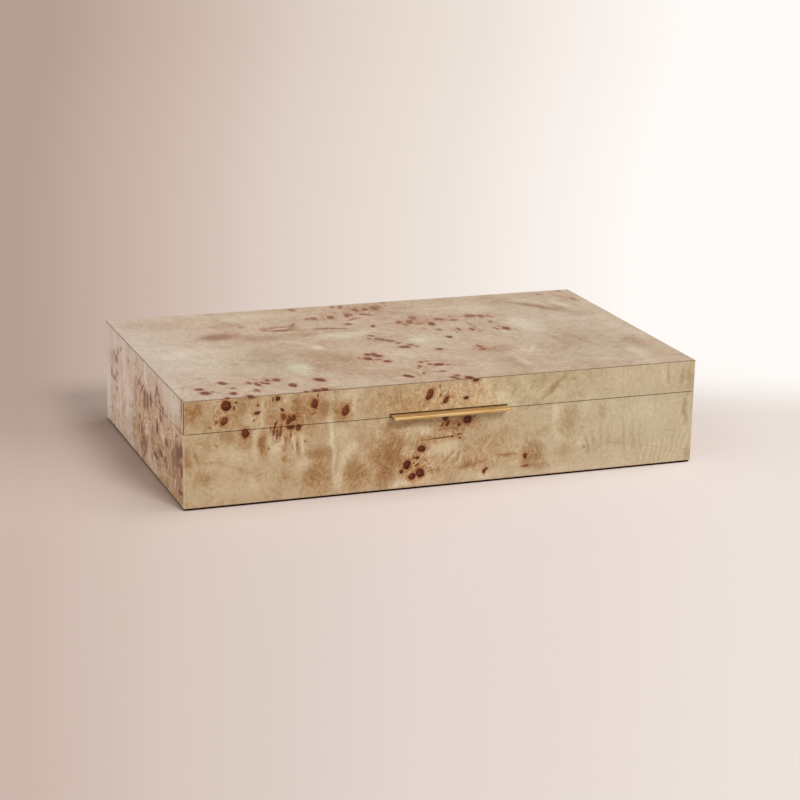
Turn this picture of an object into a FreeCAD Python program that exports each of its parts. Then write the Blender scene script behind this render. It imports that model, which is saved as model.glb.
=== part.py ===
import FreeCAD, Part
import math
import os

# A veneered box with a hinged lid, fitted out inside for watercolour pans, tubes and brushes.
# Frame: origin at the centre of the underside, +X to the right along the length, front at -Y, +Z up.
# Lengths are in millimetres and angles in degrees.

Vector = FreeCAD.Vector

# ---------------------------------------------------------------- outside sizes
box_width = 380.0
box_depth = 224.5
base_height = 52.15
lid_height = 23.05
seam_gap = 0.5

# ---------------------------------------------------------------- sheet and board stock
veneer_thickness = 0.6
veneer_edge_radius = 0.45
wall_core_thickness = 9.4
bottom_panel_thickness = 6.0
lid_board_thickness = 6.0
rebate_width = 5.0
felt_thickness = 1.2
felt_inset = 0.5
felt_corner_radius = 1.5

# ---------------------------------------------------------------- lining inside the base and lid
liner_thickness = 2.5
lip_height = 4.0
lip_edge_radius = 0.9
lip_clearance = 0.5
floor_lining_thickness = 2.0
lid_pad_thickness = 2.0
lining_clearance = 0.2

# ---------------------------------------------------------------- divider insert
trough_width = 42.0
divider_thickness = 3.0
divider_height = 34.0
divider_edge_radius = 0.9
cross_divider_count = 5
insert_clearance = 0.3
lap_clearance = 0.1

# ---------------------------------------------------------------- pull bar on the lid
pull_width = 87.0
pull_thickness = 1.8
pull_drop = 0.35
pull_projection = 8.6
pull_seat_depth = 7.0
pull_edge_radius = 0.3
pull_corner_radius = 0.9
pull_seat_clearance = 0.1
pull_shadow_gap = 0.85
pull_side_gap = 0.4
pull_screw_spacing = 50.0
pull_screw_setback = 3.8
pull_screw_length = 11.0

# ---------------------------------------------------------------- stop hinges
hinge_inset = 50.0
hinge_length = 40.0
leaf_thickness = 1.2
leaf_depth = 7.3
knuckle_radius = 2.2
knuckle_count = 5
knuckle_end_gap = 0.1
knuckle_side_gap = 0.3
mortise_clearance = 0.1
pin_radius = 1.0
pin_running_clearance = 0.04
pin_head_radius = 1.6
pin_head_thickness = 0.7
stop_fin_reach = 4.2
stop_fin_thickness = 1.0
lid_opening_angle = 95.0
stop_angle_clearance = 0.5
hinge_screw_count = 3
hinge_screw_spacing = 14.0
hinge_screw_setback = 4.0
hinge_screw_length = 9.0

# ---------------------------------------------------------------- screws and bumpers
screw_shank_radius = 1.0
screw_head_radius = 2.0
screw_hole_clearance = 0.05
screw_tip_length = 1.5
screw_slot_width = 0.5
screw_slot_depth = 0.45
bumper_radius = 2.6
bumper_inset_x = 26.0

# ---------------------------------------------------------------- levels and half sizes worked out
base_bottom = felt_thickness
base_top = base_bottom + base_height
lid_bottom = base_top + seam_gap
lid_top = lid_bottom + lid_height
seam_middle = base_top + seam_gap / 2
floor_top = base_bottom + bottom_panel_thickness
lining_top = floor_top + floor_lining_thickness
lid_core_top = lid_top - veneer_thickness
lid_board_bottom = lid_core_top - lid_board_thickness
pull_bottom = lid_bottom - pull_drop
pull_top = pull_bottom + pull_thickness

half_width = box_width / 2
half_depth = box_depth / 2
core_half_width = half_width - veneer_thickness
core_half_depth = half_depth - veneer_thickness
well_half_width = core_half_width - wall_core_thickness
well_half_depth = core_half_depth - wall_core_thickness
lid_rail_thickness = wall_core_thickness - lip_clearance
lid_well_half_width = core_half_width - lid_rail_thickness
lid_well_half_depth = core_half_depth - lid_rail_thickness
lined_half_width = well_half_width - liner_thickness
lined_half_depth = well_half_depth - liner_thickness
wall_middle = veneer_thickness + wall_core_thickness / 2

hinge_centre_x = half_width - hinge_inset - hinge_length / 2
hinge_axis_y = half_depth + knuckle_radius + knuckle_side_gap
hinge_axis_z = seam_middle
screw_head_depth = screw_head_radius - screw_shank_radius

parts = {}


# ---------------------------------------------------------------- shape helpers
def block(x_low, x_high, y_low, y_high, z_low, z_high):
    """A box between two corners."""
    corner = Vector(x_low, y_low, z_low)
    return Part.makeBox(x_high - x_low, y_high - y_low, z_high - z_low, corner)


def prism(points, direction):
    """A flat outline pushed along a direction."""
    outline = Part.makePolygon(points + [points[0]])
    return Part.Face(outline).extrude(direction)


def round_edges(solid, radius, chosen):
    """Rounds the edges that the chosen test picks."""
    edges = [edge for edge in solid.Edges if chosen(edge)]
    return solid.makeFillet(radius, edges)


def edge_size(edge):
    """Length of an edge's box along X, Y and Z."""
    box = edge.BoundBox
    return box.XLength, box.YLength, box.ZLength


def save(name, shape):
    """Keeps a finished piece under the name of its node."""
    parts[name] = shape.removeSplitter()


def mitred_sides(outer_x, outer_y, thickness, z_low, z_high):
    """Four boards round a rectangle, mitred at the corners: front, back, left and right."""
    inner_x = outer_x - thickness
    inner_y = outer_y - thickness
    up = Vector(0, 0, z_high - z_low)
    outer = [(-outer_x, -outer_y), (outer_x, -outer_y), (outer_x, outer_y), (-outer_x, outer_y)]
    inner = [(-inner_x, -inner_y), (inner_x, -inner_y), (inner_x, inner_y), (-inner_x, inner_y)]
    sides = {}
    for index, side in enumerate(("front", "right", "back", "left")):
        after = (index + 1) % 4
        corners = [outer[index], outer[after], inner[after], inner[index]]
        sides[side] = prism([Vector(x, y, z_low) for x, y in corners], up)
    return sides


def countersunk_screw(x, y, head_z, length, upwards):
    """A slotted wood screw whose flat head lies at head_z; upwards says which way it points."""
    body_end = length - screw_tip_length
    profile = [
        Vector(0, 0, 0),
        Vector(screw_head_radius, 0, 0),
        Vector(screw_shank_radius, 0, screw_head_depth),
        Vector(screw_shank_radius, 0, body_end),
        Vector(0, 0, length),
    ]
    face = Part.Face(Part.makePolygon(profile + [profile[0]]))
    screw = face.revolve(Vector(0, 0, 0), Vector(0, 0, 1), 360)
    half_slot = screw_slot_width / 2
    slot = block(-screw_head_radius, screw_head_radius, -half_slot, half_slot, 0, screw_slot_depth)
    screw = screw.cut(slot)
    if not upwards:
        screw.rotate(Vector(0, 0, 0), Vector(1, 0, 0), 180)
    screw.translate(Vector(x, y, head_z))
    return screw


def screw_hole(x, y, head_z, length, upwards):
    """The hole that a countersunk screw leaves: its head's own cone, and a shank with clearance."""
    radius = screw_shank_radius + screw_hole_clearance
    sign = 1 if upwards else -1
    way = Vector(0, 0, sign)
    head = Part.makeCone(screw_head_radius, screw_shank_radius, screw_head_depth,
                         Vector(x, y, head_z), way)
    shank = Part.makeCylinder(radius, length + screw_hole_clearance, Vector(x, y, head_z), way)
    return head.fuse(shank)


# ---------------------------------------------------------------- base carcass
def hinge_mortises(z_low, z_high):
    """The two shallow recesses that take the hinge leaves."""
    half_length = hinge_length / 2 + mortise_clearance
    cuts = []
    for centre in (-hinge_centre_x, hinge_centre_x):
        cuts.append(block(centre - half_length, centre + half_length,
                          half_depth - leaf_depth - mortise_clearance, half_depth, z_low, z_high))
    return cuts


def hinge_screw_places():
    """Middle of each hinge screw, for both hinges."""
    places = []
    first = -(hinge_screw_count - 1) / 2
    for centre in (-hinge_centre_x, hinge_centre_x):
        for number in range(hinge_screw_count):
            x = centre + (first + number) * hinge_screw_spacing
            places.append((x, half_depth - hinge_screw_setback))
    return places


def make_base_carcass():
    """Mitred boards round a bottom panel that sits in a rebate, flush with their underside."""
    panel_half_width = well_half_width + rebate_width
    panel_half_depth = well_half_depth + rebate_width
    panel = block(-panel_half_width, panel_half_width, -panel_half_depth, panel_half_depth,
                  base_bottom, floor_top)
    save("base_bottom_panel", panel)
    boards = mitred_sides(core_half_width, core_half_depth, wall_core_thickness,
                          base_bottom, base_top)
    for side, board in boards.items():
        board = board.cut(panel)
        if side == "back":
            board = board.cut(hinge_mortises(base_top - leaf_thickness, base_top))
            holes = [screw_hole(x, y, base_top, hinge_screw_length, False)
                     for x, y in hinge_screw_places()]
            board = board.cut(holes)
        save("base_" + side + "_board", board)


def make_veneers(prefix, z_low, z_high):
    """Face veneers: the front and back sheets run full width and cover the ends of the others."""
    sheets = {
        "front": block(-half_width, half_width, -half_depth, -core_half_depth, z_low, z_high),
        "back": block(-half_width, half_width, core_half_depth, half_depth, z_low, z_high),
        "left": block(-half_width, -core_half_width, -core_half_depth, core_half_depth,
                      z_low, z_high),
        "right": block(core_half_width, half_width, -core_half_depth, core_half_depth,
                       z_low, z_high),
    }
    return {prefix + side + "_veneer": sheet for side, sheet in sheets.items()}


def eased_envelope(z_low, z_high, outer_z):
    """The outside of the base or the lid, with soft upright corners and soft edges at outer_z."""
    radius = min(veneer_edge_radius, veneer_thickness * 0.8)
    whole = block(-half_width, half_width, -half_depth, half_depth, z_low, z_high)

    def outside(edge):
        box = edge.BoundBox
        upright = box.ZLength > radius
        return upright or abs(box.ZMin - outer_z) < radius / 4

    return round_edges(whole, radius, outside)


def make_base_veneers():
    """The base's four veneers, with the back one notched for the hinge leaves."""
    envelope = eased_envelope(base_bottom, base_top, base_bottom)
    for name, sheet in make_veneers("base_", base_bottom, base_top).items():
        sheet = sheet.common(envelope)
        if name == "base_back_veneer":
            sheet = sheet.cut(hinge_mortises(base_top - leaf_thickness, base_top))
        save(name, sheet)


def make_felt():
    """A pad of felt under the whole base, set in a little from the edges."""
    x = half_width - felt_inset
    y = half_depth - felt_inset
    felt = block(-x, x, -y, y, 0, felt_thickness)
    felt = round_edges(felt, felt_corner_radius, lambda edge: edge_size(edge)[2] > felt_thickness / 2)
    save("base_felt", felt)


# ---------------------------------------------------------------- lining of the base
def make_liners():
    """Four covered boards inside the walls; they rise past the rim as a lip that locates the lid."""
    lip_top = base_top + lip_height
    liners = mitred_sides(well_half_width, well_half_depth, liner_thickness, floor_top, lip_top)
    radius = min(lip_edge_radius, liner_thickness * 0.45)
    for side, liner in liners.items():
        along = 0 if side in ("front", "back") else 1

        def on_lip(edge):
            long_enough = edge_size(edge)[along] > liner_thickness * 2
            return long_enough and edge.BoundBox.ZMin > lip_top - radius / 2

        save(side + "_liner", round_edges(liner, radius, on_lip))


def make_floor_lining():
    """The covered board that lies on the bottom panel between the liners."""
    x = lined_half_width - lining_clearance
    y = lined_half_depth - lining_clearance
    save("floor_lining", block(-x, x, -y, y, floor_top, lining_top))


# ---------------------------------------------------------------- divider insert
def divider(x_low, x_high, y_low, y_high):
    """A thin upright board on the floor lining with its top edges rounded."""
    top = lining_top + divider_height
    board = block(x_low, x_high, y_low, y_high, lining_top, top)
    along = 0 if x_high - x_low > y_high - y_low else 1
    radius = min(divider_edge_radius, divider_thickness * 0.45)

    def on_top(edge):
        long_enough = edge_size(edge)[along] > divider_thickness * 2
        return long_enough and edge.BoundBox.ZMin > top - radius / 2

    return round_edges(board, radius, on_top)


def make_dividers():
    """A trough for brushes along the front, and two rows of equal wells behind it."""
    end_x = lined_half_width - insert_clearance
    back_y = lined_half_depth - insert_clearance
    trough_front = -lined_half_depth + trough_width
    trough_back = trough_front + divider_thickness
    row_space = lined_half_depth - trough_back
    row_middle = trough_back + row_space / 2
    half_thickness = divider_thickness / 2
    save("brush_trough_divider", divider(-end_x, end_x, trough_front, trough_back))

    half_height = lining_top + divider_height / 2
    top = lining_top + divider_height
    slot_half = half_thickness + lap_clearance
    row_divider = divider(-end_x, end_x, row_middle - half_thickness, row_middle + half_thickness)
    pitch = (2 * lined_half_width + divider_thickness) / (cross_divider_count + 1)
    for number in range(1, cross_divider_count + 1):
        x = -lined_half_width - half_thickness + number * pitch
        cross = divider(x - half_thickness, x + half_thickness, trough_back, back_y)
        cross_slot = block(x - slot_half, x + slot_half, row_middle - slot_half,
                           row_middle + slot_half, lining_top, half_height)
        row_slot = block(x - slot_half, x + slot_half, row_middle - slot_half,
                         row_middle + slot_half, half_height, top)
        save("cross_divider_" + str(number), cross.cut(cross_slot))
        row_divider = row_divider.cut(row_slot)
    save("well_row_divider", row_divider)


# ---------------------------------------------------------------- pull bar
def pull_seat_block(grow_x, grow_y, z_low, z_high, depth):
    """The room that the bar takes in the front of the lid, grown by a clearance."""
    half = pull_width / 2 + grow_x
    return block(-half, half, -half_depth, -half_depth + depth + grow_y, z_low, z_high)


def pull_screw_places():
    """Middle of each of the two screws that hold the pull bar."""
    y = -half_depth + pull_screw_setback
    return [(-pull_screw_spacing / 2, y), (pull_screw_spacing / 2, y)]


def make_pull():
    """A flat brass bar let into the lid's lower front edge, a hair proud underneath."""
    half = pull_width / 2
    front = -half_depth - pull_projection
    back = -half_depth + pull_seat_depth
    bar = block(-half, half, front, back, pull_bottom, pull_top)

    def front_corner(edge):
        return edge_size(edge)[2] > pull_thickness / 2 and edge.BoundBox.YMax < front + pull_edge_radius

    bar = round_edges(bar, pull_corner_radius, front_corner)
    radius = min(pull_edge_radius, pull_thickness * 0.45)

    def proud_edge(edge):
        return edge_size(edge)[2] < pull_thickness / 2 and edge.BoundBox.YMin < back - radius

    bar = round_edges(bar, radius, proud_edge)
    holes = [screw_hole(x, y, pull_bottom, pull_screw_length, True) for x, y in pull_screw_places()]
    save("lid_pull", bar.cut(holes))
    screws = [countersunk_screw(x, y, pull_bottom, pull_screw_length, True)
              for x, y in pull_screw_places()]
    parts["pull_screws"] = Part.makeCompound(screws)


# ---------------------------------------------------------------- lid carcass
def make_lid_carcass():
    """Mitred rails round a top board in a rebate, flush with their upper edges."""
    board_half_width = lid_well_half_width + rebate_width
    board_half_depth = lid_well_half_depth + rebate_width
    board = block(-board_half_width, board_half_width, -board_half_depth, board_half_depth,
                  lid_board_bottom, lid_core_top)
    save("lid_top_board", board)
    seat = pull_seat_block(pull_seat_clearance, pull_seat_clearance, pull_bottom, pull_top,
                           pull_seat_depth)
    rails = mitred_sides(core_half_width, core_half_depth, lid_rail_thickness,
                         lid_bottom, lid_core_top)
    for side, rail in rails.items():
        rail = rail.cut(board)
        if side == "front":
            holes = [screw_hole(x, y, pull_bottom, pull_screw_length, True)
                     for x, y in pull_screw_places()]
            rail = rail.cut([seat] + holes)
        if side == "back":
            holes = [screw_hole(x, y, lid_bottom, hinge_screw_length, True)
                     for x, y in hinge_screw_places()]
            mortises = hinge_mortises(lid_bottom, lid_bottom + leaf_thickness)
            rail = rail.cut(mortises + holes)
        save("lid_" + side + "_rail", rail)


def make_lid_veneers():
    """The lid's four edge veneers and the sheet that covers its whole top."""
    notch = pull_seat_block(pull_side_gap, 0, pull_bottom, pull_top + pull_shadow_gap, pull_seat_depth)
    envelope = eased_envelope(lid_bottom, lid_top, lid_top)
    for name, sheet in make_veneers("lid_", lid_bottom, lid_core_top).items():
        sheet = sheet.common(envelope)
        if name == "lid_front_veneer":
            sheet = sheet.cut(notch)
        if name == "lid_back_veneer":
            sheet = sheet.cut(hinge_mortises(lid_bottom, lid_bottom + leaf_thickness))
        save(name, sheet)
    top_sheet = block(-half_width, half_width, -half_depth, half_depth, lid_core_top, lid_top)
    save("lid_top_veneer", top_sheet.common(envelope))


def make_lid_pad():
    """The covered board that lines the inside of the lid."""
    x = lid_well_half_width - lining_clearance
    y = lid_well_half_depth - lining_clearance
    save("lid_lining_pad", block(-x, x, -y, y, lid_board_bottom - lid_pad_thickness,
                                 lid_board_bottom))


# ---------------------------------------------------------------- hinges
def along_hinge(radius, x_low, x_high):
    """A cylinder on the hinge axis."""
    start = Vector(x_low, hinge_axis_y, hinge_axis_z)
    return Part.makeCylinder(radius, x_high - x_low, start, Vector(1, 0, 0))


def stop_fin(left, for_lid):
    """A fin behind the knuckles; the two fins meet when the lid is fully open."""
    half_angle = math.radians((lid_opening_angle + stop_angle_clearance) / 2)
    side = 1 if for_lid else -1
    along = Vector(0, math.cos(half_angle), side * math.sin(half_angle))
    across = Vector(0, -math.sin(half_angle), side * math.cos(half_angle))
    start = Vector(left, hinge_axis_y, hinge_axis_z)
    corners = [
        start,
        start + along * stop_fin_reach,
        start + along * stop_fin_reach + across * stop_fin_thickness,
        start + across * stop_fin_thickness,
    ]
    return prism(corners, Vector(hinge_length, 0, 0))


def hinge_leaf(centre, for_lid):
    """One leaf with its knuckles, stop fin, pin bore and countersunk holes."""
    left = centre - hinge_length / 2
    right = centre + hinge_length / 2
    z_low = lid_bottom if for_lid else base_top - leaf_thickness
    leaf = block(left, right, half_depth - leaf_depth, hinge_axis_y, z_low, z_low + leaf_thickness)
    leaf = leaf.fuse(stop_fin(left, for_lid))
    pitch = hinge_length / knuckle_count
    own_remainder = 1 if for_lid else 0
    clear_radius = knuckle_radius + knuckle_side_gap
    for number in range(knuckle_count):
        low = left + number * pitch
        high = low + pitch
        if number % 2 == own_remainder:
            low_gap = knuckle_end_gap / 2 if number > 0 else 0
            high_gap = knuckle_end_gap / 2 if number < knuckle_count - 1 else 0
            leaf = leaf.fuse(along_hinge(knuckle_radius, low + low_gap, high - high_gap))
        else:
            leaf = leaf.cut(along_hinge(clear_radius, low - knuckle_end_gap / 2,
                                        high + knuckle_end_gap / 2))
    bore = pin_radius + (pin_running_clearance if for_lid else 0)
    leaf = leaf.cut(along_hinge(bore, left, right))
    head_z = lid_bottom if for_lid else base_top
    for x, y in hinge_screw_places():
        if left < x < right:
            leaf = leaf.cut(screw_hole(x, y, head_z, hinge_screw_length, for_lid))
    return leaf


def hinge_pin(centre):
    """The pin, with a low head at each end."""
    left = centre - hinge_length / 2
    right = centre + hinge_length / 2
    pin = along_hinge(pin_radius, left - pin_head_thickness, right + pin_head_thickness)
    left_head = along_hinge(pin_head_radius, left - pin_head_thickness, left)
    right_head = along_hinge(pin_head_radius, right, right + pin_head_thickness)
    return pin.fuse([left_head, right_head])


def make_hinges():
    """Two stop hinges, with one node for the screws of the base and one for those of the lid."""
    for side, centre in (("left", -hinge_centre_x), ("right", hinge_centre_x)):
        save(side + "_hinge_base_leaf", hinge_leaf(centre, False))
        save(side + "_hinge_lid_leaf", hinge_leaf(centre, True))
        save(side + "_hinge_pin", hinge_pin(centre))
    base_screws = []
    lid_screws = []
    for x, y in hinge_screw_places():
        base_screws.append(countersunk_screw(x, y, base_top, hinge_screw_length, False))
        lid_screws.append(countersunk_screw(x, y, lid_bottom, hinge_screw_length, True))
    parts["hinge_base_screws"] = Part.makeCompound(base_screws)
    parts["hinge_lid_screws"] = Part.makeCompound(lid_screws)


# ---------------------------------------------------------------- rim bumpers
def make_bumpers():
    """Two thin dots on the front rim that the shut lid rests on; they set the seam gap."""
    y = -half_depth + wall_middle
    dots = []
    for x in (-half_width + bumper_inset_x, half_width - bumper_inset_x):
        dots.append(Part.makeCylinder(bumper_radius, seam_gap, Vector(x, y, base_top)))
    parts["rim_bumpers"] = Part.makeCompound(dots)


make_base_carcass()
make_base_veneers()
make_felt()
make_liners()
make_floor_lining()
make_dividers()
make_lid_carcass()
make_lid_veneers()
make_lid_pad()
make_pull()
make_hinges()
make_bumpers()

os.makedirs("parts", exist_ok=True)
for name, shape in parts.items():
    shape.exportStep("parts/" + name + ".step")
    print(name, len(shape.Solids), shape.isValid(), round(shape.Volume, 2))
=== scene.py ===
import math

import bmesh
import bpy
import numpy as np
from mathutils import Matrix, Vector, noise


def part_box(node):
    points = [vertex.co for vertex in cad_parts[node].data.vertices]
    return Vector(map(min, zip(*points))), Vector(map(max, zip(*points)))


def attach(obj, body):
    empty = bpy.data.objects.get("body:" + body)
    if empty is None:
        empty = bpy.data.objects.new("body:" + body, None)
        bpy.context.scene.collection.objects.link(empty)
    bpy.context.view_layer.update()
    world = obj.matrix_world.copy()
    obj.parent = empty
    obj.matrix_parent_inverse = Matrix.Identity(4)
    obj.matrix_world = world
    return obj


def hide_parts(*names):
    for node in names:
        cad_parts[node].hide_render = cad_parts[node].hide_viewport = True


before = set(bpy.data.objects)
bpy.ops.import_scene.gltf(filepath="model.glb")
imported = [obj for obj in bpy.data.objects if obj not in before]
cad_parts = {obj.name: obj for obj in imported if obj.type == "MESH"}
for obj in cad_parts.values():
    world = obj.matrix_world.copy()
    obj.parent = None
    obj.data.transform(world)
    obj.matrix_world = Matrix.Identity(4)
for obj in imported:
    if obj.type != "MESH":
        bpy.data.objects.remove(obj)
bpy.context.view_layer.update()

# The veneered box of the photograph. Lengths named here are in millimetres, angles in degrees.
# Each face is laid out flat. On a side, u runs to the right, seen from outside, and v upwards
# from the felt. On the top, u and v are the frame's own X and Y.
MM = 0.001

# ---------------------------------------------------------------- sizes read from the frame
VENEER_LOW, VENEER_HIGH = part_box("base_front_veneer")
TOP_LOW, TOP_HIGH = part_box("lid_top_veneer")
HALF_WIDTH = TOP_HIGH.x / MM
HALF_DEPTH = TOP_HIGH.y / MM
FELT_HEIGHT = VENEER_LOW.z / MM
BASE_TOP = VENEER_HIGH.z / MM
LID_TOP = TOP_HIGH.z / MM
SIDE_HEIGHT = LID_TOP - FELT_HEIGHT
VENEER_THICKNESS = (TOP_HIGH.z - TOP_LOW.z) / MM

EDGE_RADIUS = 0.45
PULL_SIDE_GAP = 0.4
PULL_SHADOW_GAP = 0.85
MORTISE_CLEARANCE = 0.1
LEAF_THICKNESS = 1.2


# ---------------------------------------------------------------- shader helpers
def colour(hex_code):
    """An sRGB hex code as linear RGBA."""
    parts = [int(hex_code[i:i + 2], 16) / 255 for i in (1, 3, 5)]
    linear = [p / 12.92 if p <= 0.04045 else ((p + 0.055) / 1.055) ** 2.4 for p in parts]
    return (*linear, 1.0)


class Shader:
    """A node material and short ways to add nodes to it."""

    def __init__(self, name):
        self.material = bpy.data.materials.new(name)
        self.material.use_nodes = True
        self.tree = self.material.node_tree
        self.tree.nodes.clear()

    def feed(self, socket, value):
        """Links a socket, or sets it to a number, a vector or a hex colour."""
        if isinstance(value, bpy.types.NodeSocket):
            self.tree.links.new(value, socket)
        else:
            socket.default_value = colour(value) if isinstance(value, str) else value

    def add(self, kind, inputs=None, **settings):
        node = self.tree.nodes.new("ShaderNode" + kind)
        for key, value in settings.items():
            setattr(node, key, value)
        for key, value in (inputs or {}).items():
            self.feed(node.inputs[key], value)
        return node

    def place(self):
        """Coordinates of the object itself, in metres."""
        return self.add("TexCoord").outputs["Object"]

    def attribute(self, name, output="Fac"):
        return self.add("Attribute", attribute_name=name).outputs[output]

    def math(self, operation, a, b=0.0, c=0.0, clamp=False):
        node = self.add("Math", {0: a, 1: b, 2: c}, operation=operation, use_clamp=clamp)
        return node.outputs[0]

    def times(self, a, b, clamp=False):
        return self.math("MULTIPLY", a, b, clamp=clamp)

    def linear(self, value, slope, start, clamp=False):
        return self.math("MULTIPLY_ADD", value, slope, start, clamp)

    def swung(self, start, *parts):
        """A start plus each part's swing about one half, times its weight."""
        for part, weight in parts:
            start = self.linear(self.math("SUBTRACT", part, 0.5), weight, start)
        return start

    def smooth(self, value, low, high):
        """0 below low, 1 above high, smooth between."""
        inputs = {"Value": value, "From Min": low, "From Max": high}
        return self.add("MapRange", inputs, interpolation_type="SMOOTHSTEP").outputs[0]

    def vector(self, operation, a, b=(0, 0, 0), c=(0, 0, 0), output=0):
        node = self.add("VectorMath", {0: a, 1: b, 2: c}, operation=operation)
        return node.outputs[output]

    def scaled(self, vector, factors):
        return self.vector("MULTIPLY", vector, factors)

    def shifted(self, place, drift, reach):
        """A place moved by a drift, times its reach."""
        return self.vector("ADD", place, self.scaled(drift, (reach, reach, reach)))

    def noise(self, vector, scale, detail=2.0, roughness=0.5, distortion=0.0, output=0):
        inputs = {"Vector": vector, "Scale": scale, "Detail": detail,
                  "Roughness": roughness, "Distortion": distortion}
        return self.add("TexNoise", inputs).outputs[output]

    def drift(self, vector, scale, roughness=0.5):
        """Noise about zero in three directions."""
        cloud = self.noise(vector, scale, 2, roughness, output=1)
        return self.vector("SUBTRACT", cloud, (0.5, 0.5, 0.5))

    def mix(self, factor, a, b, blend="MIX"):
        node = self.add("Mix", {0: factor, 6: a, 7: b}, data_type="RGBA", blend_type=blend)
        return node.outputs[2]

    def ramp(self, factor, places, shades):
        """A colour ramp with a shade at each place."""
        node = self.add("ValToRGB", {0: factor})
        line = node.color_ramp
        while len(line.elements) < len(shades):
            line.elements.new(0.5)
        for element, place, shade in zip(line.elements, places, shades):
            element.position = place
            element.color = colour(shade)
        return node.outputs[0]

    def finish(self, base, roughness, bump=None, bump_strength=0.0, bump_distance=MM, **sockets):
        inputs = {"Base Color": base, "Roughness": roughness}
        inputs.update({key.replace("_", " "): value for key, value in sockets.items()})
        surface = self.add("BsdfPrincipled", inputs)
        if bump is not None:
            bumped = self.add("Bump", {"Height": bump, "Strength": bump_strength,
                                       "Distance": bump_distance})
            self.feed(surface.inputs["Normal"], bumped.outputs[0])
        out = self.add("OutputMaterial", {"Surface": surface.outputs[0]})
        out.is_active_output = True
        return self.material


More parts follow.
